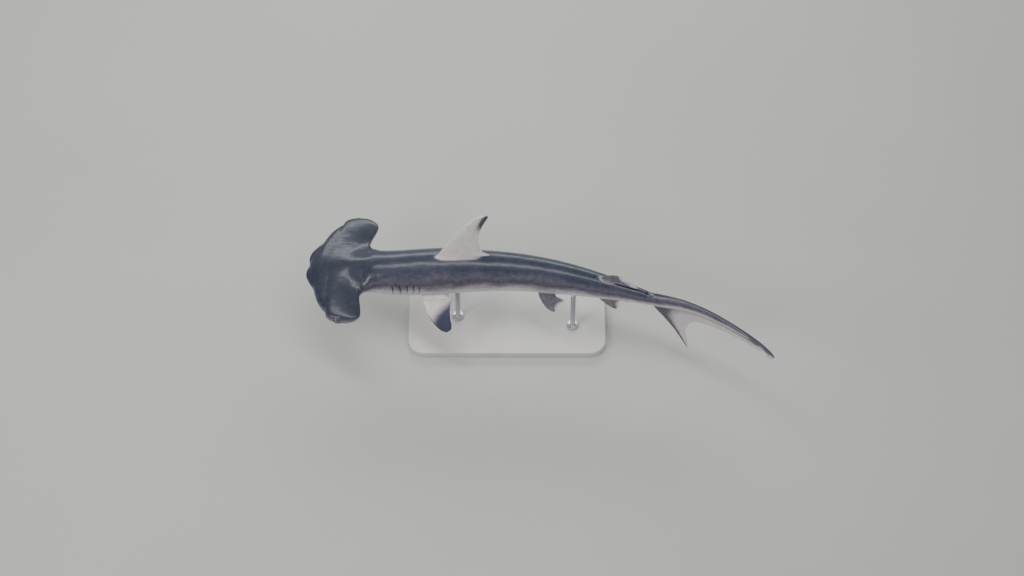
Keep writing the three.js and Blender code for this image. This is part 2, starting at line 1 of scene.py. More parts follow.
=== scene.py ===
"""Scalloped hammerhead shark on a plain display stand: its skin, eyes, stand, floor, lights and camera.

The animal is drawn straight first, in percent of its total length: s runs back from the front of
the head, y to the shark's right, and z up from the body's axis. place() bends it along the spine,
in metres, in the frame of the solids. Small reliefs are given in millimetres.
"""
import math

import bpy
import numpy as np
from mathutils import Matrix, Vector
from mathutils.kdtree import KDTree


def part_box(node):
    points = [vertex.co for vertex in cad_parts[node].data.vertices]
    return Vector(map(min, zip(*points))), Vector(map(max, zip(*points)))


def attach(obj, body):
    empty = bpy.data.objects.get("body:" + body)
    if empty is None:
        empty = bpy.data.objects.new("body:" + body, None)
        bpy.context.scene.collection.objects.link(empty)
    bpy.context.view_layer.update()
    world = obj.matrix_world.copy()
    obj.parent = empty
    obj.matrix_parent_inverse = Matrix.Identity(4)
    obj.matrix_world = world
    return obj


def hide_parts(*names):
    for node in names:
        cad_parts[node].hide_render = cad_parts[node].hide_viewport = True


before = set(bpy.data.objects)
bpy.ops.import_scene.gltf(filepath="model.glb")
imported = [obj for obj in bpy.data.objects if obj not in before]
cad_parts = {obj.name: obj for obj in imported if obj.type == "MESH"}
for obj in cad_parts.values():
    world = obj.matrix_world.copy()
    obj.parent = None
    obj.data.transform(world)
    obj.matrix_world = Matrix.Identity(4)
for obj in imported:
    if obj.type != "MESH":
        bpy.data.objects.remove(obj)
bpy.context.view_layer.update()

# Driving dimensions of the pose and the body

TOTAL_LENGTH = 1.2
AXIS_HEIGHT = 0.205
MM = 0.1 / TOTAL_LENGTH  # one millimetre, in percent of the total length
NECK_STATION = 14.5
TAIL_ROOT = 68.9
STEM_END = 94

# Station and heading of the spine, in degrees from +X towards +Y
SPINE_BEND = [
    (0, -8), (13, -8), (17, -3), (21, 2), (25, 3), (30, 1), (36, -1.5), (42, -5.5), (48, -10),
    (54, -14), (60, -16.5), (66, -18.5), (72, -22.5), (78, -34), (84, -42.5), (92, -49), (100, -57),
]
SPINE_END = 103.01
SPINE_STEP = 0.1
CENTRE_STATION = 40  # the station over the origin
CENTRE_SHIFT = 0.008  # how far the spine passes from the origin there, in metres

# Station, back and belly
DEPTHS = [
    (1, 1.2, 1.05), (4, 1.75, 1.5), (8, 2.45, 2.3), (12, 3.2, 3.4), (15, 3.75, 4.2), (20, 4.4, 4.6),
    (26, 4.8, 4.75), (32, 4.65, 4.55), (39, 4.2, 4.15), (48, 3.7, 3.8), (56, 3.0, 3.1),
    (63, 2.2, 2.25), (67.3, 1.7, 1.7), (68.9, 1.5, 1.55),
]
# Station and half width
WIDTHS = [
    (14.5, 4.4), (20, 4.45), (26, 4.45), (32, 4.05), (39, 3.7), (48, 3.25), (56, 2.6), (63, 1.85),
    (68.9, 1.15),
]
# Station, height, half width and half depth of the tail's stem
TAIL_STEM = [
    (68.9, 0, 1.15, 1.5), (71, 0.35, 1.0, 1.5), (74.5, 1.4, 0.85, 1.4), (79.5, 2.8, 0.62, 1.1),
    (85.5, 4.45, 0.42, 0.75), (91, 5.9, 0.26, 0.45), (94, 6.7, 0.14, 0.22),
]

# Rings of the hammer: station on the midline, sweep of the edge behind it, scallop of the margin,
# half width, thickness
HAMMER = [
    (0.45, 0, 0, 0, 0.7), (0.55, 0, -0.45, 1.4, 0.75), (0.85, 0, -0.65, 2.8, 0.8),
    (1.4, 0, -0.4, 4.3, 0.85), (2.1, 0, 0.05, 5.8, 0.9), (2.8, 0, -0.05, 7.3, 1),
    (3.5, 0.05, -0.05, 8.8, 1.05), (4.2, 0.12, 0.18, 10, 1.1), (4.8, 0.3, 0.4, 10.9, 1.1),
    (5.3, 0.6, -0.15, 11.7, 1.15), (5.8, 1.05, -0.15, 12.4, 1.2), (6.5, 1.95, -0.05, 12.75, 1.2),
    (7.2, 3.1, 0, 12.65, 1.1), (7.9, 3.9, 0, 12, 0.9), (8.5, 4, 0, 11, 0.7), (9.3, 3, 0, 9.4, 0.6),
    (10.2, 1.65, 0, 7.8, 0.6), (11.1, 0.5, 0, 6.5, 0.65), (12.1, 0, 0, 5.45, 0.8),
    (13.3, 0, 0, 4.75, 0.9), (14.5, 0, 0, 4.4, 1),
]
HAMMER_REACH = max(row[3] for row in HAMMER)
HAMMER_UP = 1.2  # height of the blade above its middle, in thicknesses
HAMMER_DOWN = 1.15  # and below it
NOSE_LENGTH = 2.6

# The hammer's middle lies below the body's axis, and its wings droop further out
HAMMER_DROP = 0.6
HAMMER_DROP_FADE = (2, 15)
HAMMER_DROOP = 0.5
DROOP_START = 4.5
DROOP_SPAN = 9
DROOP_POWER = 1.5

# Half widths between which rings turn flat, stations between which the wings' tips grow blunt and
# then sharp again, and the powers that shape the rings
FLAT_RINGS = (4.3, 9)
TIPS_BLUNT = (3, 7)
TIPS_SHARP = (7.2, 10)
ROUND_POWER = 2.1
FLAT_POWER = 0.6
TIP_POWER = 2.2
GATHER_POWER = 0.5
SWEEP_POWER = 1.5
SCALLOP_POWER = 6

# The body's depth is kept in the middle of the head, and from the neck on over the whole ring
BULGE_HALF_WIDTH = 3.3
BULGE_WIDENING = 40
BULGE_NECK = (10.5, 17)
BULGE_FALL = 0.7

# Reliefs: stations and half widths are in percent, the rest in millimetres where nothing else is
# said. A fold is its height, its place and its width.

EYE_STATION = 8.1
EYE_RADIUS = 11.0
EYE_FLATNESS = 0.86  # height of the eye over its width
EYE_SINK = 7.4
SOCKET_GAP = 0.35
PUPIL = (0.26, 0.38)  # half width and half height, in eye radii
LID_RADIUS = 9.3
LID_HEIGHT = 0.9  # at the top; twice that at the bottom
LID_WIDTH = 1.4
ORBIT_FOLD = (-0.6, 3.4, 1.8)
LID_REGION = (1.3, 0.7)  # how far inside the reach of the hammer the lids begin, in percent

MOUTH_FRONT = 8.9
MOUTH_CORNER = 12.2
MOUTH_HALF_WIDTH = 2.9
MOUTH_ARCH = 2.2  # power of the arch
MOUTH_GROOVE = (-3.0, 0, 1.6)
UPPER_LIP = (0.9, -3.0, 1.6)
LOWER_LIP = (2.2, 3.6, 2.2)
JAW_FURROW = (-0.8, 9.0, 2.6)
# Shares of the mouth's half width where its back, its lips and its corners end
MOUTH_SIDES = 1.05
LIPS_END = (0.8, 1.12)
CORNERS_END = (1.0, 1.06)

# Distances from the midline in percent, then the inset from the front margin and the drop below it
NOSTRIL_INNER = 10.3
NOSTRIL_OUTER = 11.7
NOSTRIL_PLACE = (1.2, 2.6)
GROOVE_START = 6.0
GROOVE_PLACE = (0.3, 2.4)
# Depth and half width of a trench, and the fold beside it
NOSTRIL_TRENCH = ((4.2, 1.9), (0.9, 3.6, 1.2))
GROOVE_TRENCH = ((1.3, 1.3), (0.35, 2.6, 1.0))

# Station, top and bottom (degrees above the side) of each gill slit
GILLS = [(17.3, 13, -26), (18.6, 14, -27), (19.85, 14, -27), (21.05, 13, -26), (22.15, 12, -24)]
GILL_ENDS = (5, 7)  # degrees over which a slit fades, past its end and short of it
GILL_FLAP = 10
GILL_FLAP_POWER = 1.6
GILL_RISE = 1.4
GILL_DEPTH = 4.2
GILL_SLIT = 1.1
GILL_SLIT_EDGE = 0.6
GILL_HOLLOW = (-0.9, -2.8, 2.4)
GILL_SLANT = 2.4
GILL_BOW = 0.2  # in percent
GILL_LEAN = 0.045  # in percent for each percent behind the first slit

# Station, depth, length and width of the pit above the tail's root
TAIL_PIT = (68.7, 1.2, 3.5, 8)

# Height in millimetres, wavelength in percent and seed of the skin's slow waves
WAVES = [(0.35, 9, 3), (0.12, 2.5, 4)]
# Painted shade: where the skin sinks into gill slits, mouth and nostrils, its colour is darkened
CREASE_SHADE_DEPTHS = (0.8, 2.6)  # between these depths the skin turns dark

# Half thickness at root and tip, height where the fin leaves the body, root and angle down of a
# paired fin, and ribs from root to tip: front station, front height, rear station, rear height
FINS = {
    "first_dorsal_fin": {"thickness": (0.46, 0.12), "exit": 4.65, "ribs": [
        (25.7, 3.6, 34.3, 3.4), (26.0, 4.7, 34.7, 4.9), (26.5, 5.8, 36.6, 5.2),
        (27.6, 7.8, 35.2, 6.3), (29.4, 10.8, 34.45, 9.0), (31.1, 13.6, 34.6, 12.1),
        (32.7, 15.9, 35.3, 15.0), (34.0, 17.3, 36.1, 16.9), (35.0, 17.9, 36.3, 17.7),
        (35.8, 18.0, 35.8, 18.0),
    ]},
    "second_dorsal_fin": {"thickness": (0.26, 0.09), "exit": 2.6, "ribs": [
        (58.6, 2.0, 61.8, 1.6), (58.9, 2.75, 62.2, 2.45), (59.5, 3.35, 66.8, 2.25),
        (60.2, 3.9, 64.6, 2.8), (60.9, 4.3, 63.4, 3.5), (61.6, 4.55, 63.2, 4.2),
        (62.6, 4.65, 62.6, 4.65),
    ]},
    "anal_fin": {"thickness": (0.28, 0.09), "exit": 2.7, "ribs": [
        (57.2, -2.2, 62.0, -1.6), (57.5, -2.85, 62.4, -2.45), (58.2, -3.7, 65.7, -2.45),
        (59.3, -4.8, 63.5, -3.2), (60.4, -5.7, 62.8, -4.2), (61.5, -6.3, 62.8, -5.5),
        (62.5, -6.45, 62.5, -6.45),
    ]},
    "pectoral_fin": {"thickness": (0.5, 0.12), "exit": 2.0, "root": (2.7, -2.4), "droop": 26, "curl": 12,
                     "ribs": [
        (22.8, 0.0, 28.0, 0.0), (22.9, 1.3, 28.2, 1.3), (23.05, 2.3, 29.2, 2.0),
        (23.45, 3.7, 28.6, 3.2), (24.0, 5.2, 28.4, 4.7), (24.7, 6.5, 28.5, 6.1),
        (25.6, 7.6, 28.7, 7.3), (26.6, 8.4, 28.5, 8.2), (27.6, 8.7, 27.6, 8.7),
    ]},
    "pelvic_fin": {"thickness": (0.3, 0.09), "exit": 1.6, "root": (1.5, -2.7), "droop": 48, "curl": 4,
                   "ribs": [
        (46.4, 0.0, 50.1, 0.0), (46.6, 1.0, 50.4, 1.0), (47.0, 1.8, 52.2, 1.6),
        (47.8, 2.9, 51.4, 2.5), (48.7, 3.8, 51.1, 3.4), (49.7, 4.25, 51.0, 4.1),
        (50.5, 4.35, 50.5, 4.35),
    ]},
}
# The tail fin from its upper tip, round the root, to its lower tip
TAIL_RIBS = [
    (100, 8.0, 100, 8.0), (99.1, 8.4, 99.7, 7.2), (97.3, 8.25, 98.4, 5.9), (95.5, 7.9, 96.8, 6.2),
    (93.6, 7.45, 95.3, 4.9), (90.0, 6.6, 91.6, 3.6), (85.5, 5.6, 87.2, 1.9), (80.5, 4.5, 83.2, 0.4),
    (75.5, 3.4, 80.2, -1.0), (72.0, 2.65, 78.7, -2.2), (70.0, 2.15, 78.0, -3.1),
    (69.5, 0.6, 77.6, -3.9), (69.5, -0.9, 77.3, -4.9), (70.4, -2.4, 77.2, -6.0),
    (72.3, -4.4, 77.3, -7.4), (74.7, -7.2, 77.7, -9.2), (77.0, -10.3, 78.1, -10.8),
    (77.9, -11.3, 77.9, -11.3),
]
TAIL_ROOT_SHARE = 0.68  # place of the root along the ribs
TAIL_THICKNESS = (0.1, 0.42, 0.1)  # at the upper tip, the root and the lower tip
TAIL_EXIT = 0.25  # share of the way to a tip that counts as the root
EDGE_THICKNESS = 0.3  # least half thickness of a fin, in millimetres

# Height in percent, turns along the fin and start of the waves in its rear edge
EDGE_WAVES = [(0.022, 47, 0), (0.014, 83, 1)]
# How much thicker a fin is at its root, and the share of its length over which that fades
FLARE = 0.28
FLARE_FADE = 0.045

FLESH_NODES = [
    "head", "gill_region", "torso", "tail_stock", "tail_fin_upper_lobe", "tail_fin_lower_lobe",
    "first_dorsal_fin", "second_dorsal_fin", "anal_fin", "pectoral_fin_left", "pectoral_fin_right",
    "pelvic_fin_left", "pelvic_fin_right",
]

# Sizes of the stand that its solids' boxes don't give, in metres
ROD_RADIUS = 0.006
ROD_SUNK = 0.002
FOOT_HEIGHT = 0.004
FOOT_BEVEL = 0.0012
BASE_CORNER = 0.040
BASE_BEVEL = 0.0025
BASE_UNDER_BEVEL = 0.0010

# Stations where the pores begin and end, and where a fin's rays begin on the way to its tip
PORES_START = (0.2, 1.0)
PORES_END = (7.5, 11.5)
RAYS_START = (0.15, 0.5)

# How fine the meshes are
DETAIL = 1.0  # share of the full number of rings and sides
BODY_SIDES = 440
SIDE_GATHER = 0.3  # how much closer the sides of a ring are where the rims of the hammer are
HEAD_RINGS = 280
HEAD_RING_POWER = 0.92  # below 1, the rings are closer together towards the neck
STEM_RING_STEP = 0.2
# Stretches of the trunk: start, end and the step between their rings
TRUNK_STRETCHES = [
    (NECK_STATION, 16.2, 0.16), (16.2, 23.4, 0.45 * MM), (23.4, TAIL_ROOT - 0.8, 0.25),
    (TAIL_ROOT - 0.8, TAIL_ROOT, 0.08),
]
FIN_SIDES = 88
MIDDLE_FIN_RIBS = 150
PAIRED_FIN_RIBS = 130
TAIL_FIN_RIBS = 300
EYE_SEGMENTS = 64
SOCKET_SEGMENTS = 96
ROD_SIDES = 96
BASE_SIDES = 160
BEVEL_STEPS = 7

# The smoothing of the seams between the fins and the body
SEAM_REACH = 0.009  # how far from a seam the skin is smoothed, in metres
SEAM_ROUNDS = 40
SEAM_SHARE = 0.5  # how far a point moves towards the mean of its neighbours in a round
SEAM_FILLS = 3  # rounds in which the new points of a seam take their colour from old ones

# The camera, with its lens in millimetres and its height in degrees
CAMERA_ELEVATION = 54.0
CAMERA_LENS = 100.0
CAMERA_SENSOR = 36.0
CAMERA_DISTANCE = 6.78
CAMERA_REACH = 100.0
CAMERA_TARGET = (0.012, -0.0406, AXIS_HEIGHT)

# Name, place, target, size, power in watts and colour of each light
LIGHTS = [
    ("ridge", (-0.1, 2.7, 1.7), (0, 0, 0.2), (3.4, 0.8), 50, (0.97, 0.98, 1.0)),
    ("overhead", (-0.1, -0.15, 2.7), (0, 0, 0.2), (3.2, 0.5), 40, (1.0, 0.97, 0.96)),
    ("front_left", (-2.2, -1.7, 2.3), (-0.2, 0, 0.2), (1.1, 1.1), 38, (1.0, 0.98, 0.96)),
]
SKY = (0.93, 0.96, 1.0)
SKY_STRENGTH = 0.42
FLOOR_REACH = 60.0

# Body colours from the belly up to the ridge of the back, with the surface's upward share of each
# The lighter band at an upward share of 0.48, between darker stops, is a painted reflection on the wet
# flank; the rest is the shark's own pale belly and dark back
BODY_COLOURS_AND_REFLECTION = [
    (-0.50, (0.72, 0.69, 0.71)), (-0.16, (0.52, 0.48, 0.53)), (0.06, (0.180, 0.158, 0.200)),
    (0.24, (0.062, 0.057, 0.094)), (0.48, (0.104, 0.093, 0.134)), (0.78, (0.028, 0.035, 0.070)),
    (1.0, (0.014, 0.022, 0.047)),
]
FIN_SHADE = 0.45  # the upward share that the fins count as
FIN_PALE = (0.87, 0.765, 0.775)
FIN_DUSK = (0.040, 0.046, 0.090)
# Painted shade laid into the deep creases of the gills, mouth and nostrils
CREASE_SHADE = (0.045, 0.024, 0.030)
PORE = (0.05, 0.045, 0.055)
# Iris colours by the share of the way from the middle of the eye to its rim
IRIS_COLOURS = [
    (0.0, (0.06, 0.05, 0.04)), (0.45, (0.17, 0.145, 0.10)), (0.60, (0.10, 0.088, 0.07)),
    (0.68, (0.015, 0.015, 0.018)), (0.78, (0.05, 0.05, 0.06)), (1.0, (0.12, 0.12, 0.14)),
]
PUPIL_BLACK = (0.004, 0.004, 0.006)
# Darker and lighter tone of each
PAINT = ((0.60, 0.59, 0.56), (0.66, 0.65, 0.62))
STEEL = ((0.50, 0.51, 0.53), (0.64, 0.65, 0.67))
FLOOR = ((0.485, 0.495, 0.455), (0.525, 0.535, 0.495))


# Small mathematics

def smoothstep(x, low, high):
    t = np.clip((x - low) / (high - low), 0, 1)
    return t * t * (3 - 2 * t)


def lerp(a, b, t):
    return a + (b - a) * t


def bell(x, width):
    return np.exp(-((x / width) ** 2))


def fold(x, height, at, width):
    """A rounded ridge, or a groove where its height is below 0."""
    return height * bell(x - at, width)


def trench(distance, floor, rim):
    """A groove with a flat floor and a fold beside it."""
    depth, half_width = floor
    return -depth * np.exp(-((distance / half_width) ** 4)) + fold(distance, *rim)


def curve_through(rows):
    """A smooth curve through rows of (x, value, ...) that never swings past them."""
    rows = np.array(rows, float)
    x, values = rows[:, 0], rows[:, 1:]
    slope = np.diff(values, axis=0) / np.diff(x)[:, None]
    tangent = np.vstack([slope[:1], slope[:1].repeat(len(rows) - 2, 0), slope[-1:]])
    before, after = slope[:-1], slope[1:]
    same = before * after > 0
    total = np.where(same, before + after, 1)
    tangent[1:-1] = np.where(same, 2 * before * after / total, 0)

    def value(at):
        at = np.asarray(at, float)
        i = np.clip(np.searchsorted(x, at, side="left") - 1, 0, len(x) - 2)
        width = (x[i + 1] - x[i])[..., None]
        t = np.clip((at - x[i])[..., None] / width, 0, 1)
        ends = values[i] * (1 + 2 * t) * (1 - t) ** 2 + values[i + 1] * t * t * (3 - 2 * t)
        return ends + width * t * (1 - t) * (tangent[i] * (1 - t) - tangent[i + 1] * t)

    return value


def round_curve(rows):
    """A rounder curve through rows that are evenly spaced in a parameter from 0 to 1."""
    rows = np.array(rows, float)
    padded = np.vstack([2 * rows[0] - rows[1], rows, 2 * rows[-1] - rows[-2]])

    def value(at):
        at = np.clip(np.asarray(at, float), 0, 1) * (len(rows) - 1)
        i = np.minimum(at.astype(int), len(rows) - 2)
        f = (at - i)[..., None]
        a, b, c, d = (padded[i + k] for k in range(4))
        return b + 0.5 * f * (c - a + f * (2 * a - 5 * b + 4 * c - d + f * (3 * (b - c) + d - a)))

    return value


def ripple(points, wavelength, seed):
    """A smooth, seeded, wavy field between about -1 and 1."""
    random = np.random.default_rng(seed)
    field = np.zeros(points.shape[:-1])
    for _ in range(5):
        direction = random.normal(size=3)
        direction /= np.linalg.norm(direction)
        pitch = wavelength * random.uniform(0.7, 1.5)
        field += np.sin(points @ direction * 2 * np.pi / pitch + random.uniform(0, 2 * np.pi))
    return field / 3


# The pose

spine_s = np.arange(0, SPINE_END, SPINE_STEP)
heading = curve_through(SPINE_BEND)
spine_angle = np.radians(heading(spine_s)[:, 0])
mid_angle = np.radians(heading(spine_s[1:] - SPINE_STEP / 2)[:, 0])
stride = SPINE_STEP * TOTAL_LENGTH / 100
spine_x = np.concatenate([[0], np.cumsum(np.cos(mid_angle) * stride)])
spine_y = np.concatenate([[0], np.cumsum(np.sin(mid_angle) * stride)])
spine_x -= np.interp(CENTRE_STATION, spine_s, spine_x)
spine_y -= np.interp(CENTRE_STATION, spine_s, spine_y) - CENTRE_SHIFT


def place(points):
    """Points of the straight animal, in percent, in their places in the pose, in metres."""
    s, y, z = np.moveaxis(np.asarray(points, float), -1, 0)
    angle = np.interp(s, spine_s, spine_angle)
    scale = TOTAL_LENGTH / 100
    x = np.interp(s, spine_s, spine_x) - y * scale * np.sin(angle)
    across = np.interp(s, spine_s, spine_y) + y * scale * np.cos(angle)
    return np.stack([x, across, AXIS_HEIGHT + z * scale], -1)


# The body's surface

depths = curve_through(DEPTHS)
widths = curve_through(WIDTHS)
hammer = round_curve(HAMMER)
stem = curve_through(TAIL_STEM)


def hammer_middle(s, y):
    """Height of the middle of the head and body at a station and a distance from the midline."""
    droop = HAMMER_DROOP * (np.maximum(0, np.abs(y) - DROOP_START) / DROOP_SPAN) ** DROOP_POWER
    return -HAMMER_DROP * (1 - smoothstep(s, *HAMMER_DROP_FADE)) - droop


def ring_points(mid, sweep, scallop, half, thickness, angle):
    """Points of rings round the head and body; the angle starts at the right side, over the back."""
    across = smoothstep(half, *FLAT_RINGS)
    tip = smoothstep(mid, *TIPS_BLUNT) * (1 - smoothstep(mid, *TIPS_SHARP))
    gather = 1 + GATHER_POWER * across
    blunt = ROUND_POWER + FLAT_POWER * across + TIP_POWER * tip
    share = np.abs(np.cos(angle)) ** gather
    rim = np.maximum(0, 1 - share ** blunt) ** (1 / blunt)
    s = mid + sweep * share ** SWEEP_POWER + scallop * share ** SCALLOP_POWER
    y = np.sign(np.cos(angle)) * half * share
    above = np.sin(angle) >= 0
    depth = depths(s)
    centre_depth = np.where(above, depth[..., 0], depth[..., 1])
    blade = np.where(above, HAMMER_UP, HAMMER_DOWN) * thickness
    spread = BULGE_HALF_WIDTH + BULGE_WIDENING * smoothstep(s, *BULGE_NECK) ** 2
    bulge = np.exp(-BULGE_FALL * (y / spread) ** 2)
    nose = np.sqrt(1 - (1 - np.clip((mid - HAMMER[0][0]) / NOSE_LENGTH, 0, 1)) ** 2)
    height = (blade + (centre_depth - blade) * bulge) * nose * rim
    return np.stack([s, y, hammer_middle(s, y) + np.where(above, height, -height)], -1)


def surface_normals(grid):
    along = np.gradient(grid, axis=0)
    around = np.roll(grid, -1, axis=1) - np.roll(grid, 1, axis=1)
    normal = np.cross(around, along)
    length = np.linalg.norm(normal, axis=-1, keepdims=True)
    return normal / np.maximum(length, 1e-12)


def path_distance(points, path):
    """Distance of each point to a row of points, in millimetres."""
    nearest = np.full(points.shape[:-1], np.inf)
    for a, b in zip(path[:-1], path[1:]):
        along = b - a
        share = np.clip(((points - a) @ along) / (along @ along), 0, 1)
        gap = points - (a + share[..., None] * along)
        nearest = np.minimum(nearest, np.linalg.norm(gap, axis=-1))
    return nearest / MM


# Reliefs of the head and gills, in millimetres along the surface's normal

def mouth_relief(points, below):
    """The arched line of the mouth, its lips and the furrow behind the lower jaw."""
    share = np.linspace(-1, 1, 41)
    arch = lerp(MOUTH_FRONT, MOUTH_CORNER, np.abs(share) ** MOUTH_ARCH)
    path = np.stack([arch, share * MOUTH_HALF_WIDTH], -1)
    distance = path_distance(points[..., :2], path)
    s, y = points[..., 0], np.abs(points[..., 1])
    inside = y < MOUTH_HALF_WIDTH * MOUTH_SIDES
    line = lerp(MOUTH_FRONT, MOUTH_CORNER, np.minimum(1, y / MOUTH_HALF_WIDTH) ** MOUTH_ARCH)
    behind = np.where(inside & (s > line), distance, -distance)
    folds = fold(behind, *UPPER_LIP) + fold(behind, *LOWER_LIP) + fold(behind, *JAW_FURROW)
    lips = 1 - smoothstep(y, *(MOUTH_HALF_WIDTH * end for end in LIPS_END))
    corners = 1 - smoothstep(y, *(MOUTH_HALF_WIDTH * end for end in CORNERS_END))
    return np.where(below, fold(behind, *MOUTH_GROOVE) * corners + folds * lips, 0)


def front_margin(side, start, end, count, inset, drop):
    """Points along the front margin, between two distances from the midline, just under its edge."""
    outer = [row[3] for row in HAMMER].index(HAMMER_REACH) / (len(HAMMER) - 1)
    rings = hammer(np.linspace(0, outer, 400))
    half = np.linspace(start, end, count)
    edge = np.interp(half, rings[:, 3], rings[:, :3].sum(1))
    height = hammer_middle(edge, half) - drop * MM
    return np.stack([edge + inset * MM, side * half, height], -1)


def nostril_relief(points):
    """The slit of each nostril, the flap in front of it and the groove that leads to it."""
    relief = np.zeros(points.shape[:-1])
    for side in (-1, 1):
        slit = front_margin(side, NOSTRIL_INNER, NOSTRIL_OUTER, 8, *NOSTRIL_PLACE)
        groove = front_margin(side, GROOVE_START, NOSTRIL_INNER, 12, *GROOVE_PLACE)
        relief += trench(path_distance(points, slit), *NOSTRIL_TRENCH)
        relief += trench(path_distance(points, groove), *GROOVE_TRENCH)
    return relief


def eye_centre(side):
    """The middle of the eyeball in the straight animal."""
    height = float(hammer_middle(np.array(EYE_STATION), np.array(HAMMER_REACH)))
    return np.array([EYE_STATION, side * (HAMMER_REACH - EYE_SINK * MM), height])


def lid_relief(points):
    """The thick rim of the lids, heavier below, and the hollow of the orbit round it."""
    centre = eye_centre(1)
    away = (points[..., [0, 2]] - centre[[0, 2]]) / MM / np.array([1, EYE_FLATNESS])
    reach = np.linalg.norm(away, axis=-1)
    lower = 0.5 - 0.5 * away[..., 1] / np.maximum(reach, 1e-6)
    rim = (LID_HEIGHT + LID_HEIGHT * lower) * bell(reach - LID_RADIUS, LID_WIDTH)
    orbit = fold(reach - LID_RADIUS, *ORBIT_FOLD)
    near = smoothstep(np.abs(points[..., 1]), *(HAMMER_REACH - inside for inside in LID_REGION))
    return (rim + orbit) * near


def gill_relief(s, height):
    """The raised flaps and deep slits of the gills, and how far each slit slants forward."""
    lift = np.zeros(s.shape)
    slant = np.zeros(s.shape)
    past, short = GILL_ENDS
    for station, top, bottom in GILLS:
        share = smoothstep(height, bottom - past, bottom + short)
        share = share * (1 - smoothstep(height, top - short, top + past))
        middle = (height - (top + bottom) / 2) / ((top - bottom) / 2)
        lean = GILL_LEAN * (station - GILLS[0][0]) * middle
        ahead = (station + lean + GILL_BOW * (1 - middle ** 2) - s) / MM
        flap = np.clip(1 - ahead / GILL_FLAP, 0, 1) ** GILL_FLAP_POWER * smoothstep(ahead, -0.5, 0.3)
        slit = smoothstep(ahead, -GILL_SLIT - GILL_SLIT_EDGE, -GILL_SLIT)
        slit = slit * (1 - smoothstep(ahead, -0.5, 0.1))
        hollow = fold(ahead, *GILL_HOLLOW) * (ahead < 0)
        lift += share * (GILL_RISE * flap - GILL_DEPTH * slit + hollow)
        slant += share * GILL_SLANT * slit
    return lift, slant


# The body as one closed grid

def around_angles(count):
    """Angles round a ring, closer together at the sides, where the rims of the hammer are."""
    even = np.linspace(0, 2 * np.pi, count, endpoint=False)
    return even - SIDE_GATHER * np.sin(2 * even)


def head_rings():
    return hammer(np.linspace(0, 1, int(HEAD_RINGS * DETAIL)) ** HEAD_RING_POWER)[1:]


def trunk_rings():
    """Rings of the trunk in the form of the hammer's, without sweep and scallop."""
    stretches = [np.arange(start, end, step / DETAIL) for start, end, step in TRUNK_STRETCHES]
    stations = np.concatenate(stretches)[1:]
    none = 0 * stations
    return np.stack([stations, none, none, widths(stations)[:, 0], none + 1], -1)


def stem_points(angle):
    s = np.arange(TAIL_ROOT, STEM_END, STEM_RING_STEP / DETAIL)[:, None]
    height, half_width, half_depth = np.moveaxis(stem(s), -1, 0)
    y = half_width * np.cos(angle)
    return np.stack([s + 0 * angle, y, height + half_depth * np.sin(angle)], -1)


def body_grid():
    """The head, trunk and tail stem: points of the straight animal, how far each faces up, and how deep
    each lies in a crease, for painted shade.
    """
    angle = around_angles(int(BODY_SIDES * DETAIL))[None, :]
    head = head_rings()
    rings = np.concatenate([head, trunk_rings()])
    grid = ring_points(*(rings[:, k, None] for k in range(5)), angle)
    grid = np.concatenate([grid, stem_points(angle)])

    normal = surface_normals(grid)
    shade = normal[..., 2].copy()
    level = np.broadcast_to(np.degrees(np.arcsin(np.sin(angle))), shade.shape)
    relief, slant = gill_relief(grid[..., 0], level)
    front = slice(0, len(head))
    relief[front] += mouth_relief(grid[front], level[front] < 0)
    relief[front] += nostril_relief(grid[front]) + lid_relief(grid[front])
    # Painted shade: how deep each point lies in a crease
    crease_shade = smoothstep(-relief, *CREASE_SHADE_DEPTHS)
    waves = sum(height * ripple(grid, wavelength, seed) for height, wavelength, seed in WAVES)
    relief += waves - pit_relief(grid)
    grid = grid + normal * (relief * MM)[..., None]
    grid[..., 0] -= slant * MM
    return grid, shade, crease_shade


def pit_relief(points):
    s, y, z = np.moveaxis(points, -1, 0)
    station, depth, length, width = TAIL_PIT
    return depth * bell((s - station) / MM, length) * bell(y / MM, width) * (z > 0)


# Fins

def fin_profile(c):
    """Share of the full thickness across a fin, from its front edge at 0 to its rear edge at 1."""
    return 10 * (0.2969 * np.sqrt(c) - 0.126 * c - 0.3516 * c ** 2 + 0.2843 * c ** 3 - 0.1036 * c ** 4)


def fin_grid(ribs, rows, half_thickness, spot, reach):
    """Points of a fin, with the share of the way to its tip and across it.

    half_thickness(t) is at the rib t, reach(t, c) is the share of the way to the tip, and
    spot(s, height, out) gives the place of a point, out being across the fin.
    """
    t = np.linspace(0, 1, int(rows * DETAIL))[1:-1, None]
    angle = np.linspace(0, 2 * np.pi, int(FIN_SIDES * DETAIL), endpoint=False)[None, :]
    c = (1 - np.cos(angle)) / 2
    front_s, front_h, rear_s, rear_h = np.moveaxis(round_curve(ribs)(t), -1, 0)
    wave = sum(height * np.sin(t * turns + start) for height, turns, start in EDGE_WAVES)
    wave = wave * smoothstep(t, 0.3, 0.45) * (1 - smoothstep(t, 0.8, 0.95))
    s = lerp(front_s, rear_s, c) + wave * smoothstep(c, 0.8, 1)
    thick = np.maximum(half_thickness(t) * fin_profile(c), EDGE_THICKNESS * MM)
    tip = reach(t, c)
    inner = 1 - smoothstep(np.abs(c - 0.5), 0.38, 0.5)
    flare = FLARE * np.exp(-np.clip(tip, 0, 1) / FLARE_FADE) * inner
    across = np.sin(angle)
    out = np.sign(across) * (thick + flare) * (np.abs(across) > 1e-9)
    grid = spot(s, lerp(front_h, rear_h, c), out)
    return grid, np.broadcast_to(tip, s.shape), np.broadcast_to(c, s.shape)


def upright(s, height, out):
    """The place of a point of a fin in the body's middle plane."""
    return np.stack([s, out, height], -1)


def taper(fin):
    root, tip = fin["thickness"]
    return lambda t: lerp(root, tip, t)


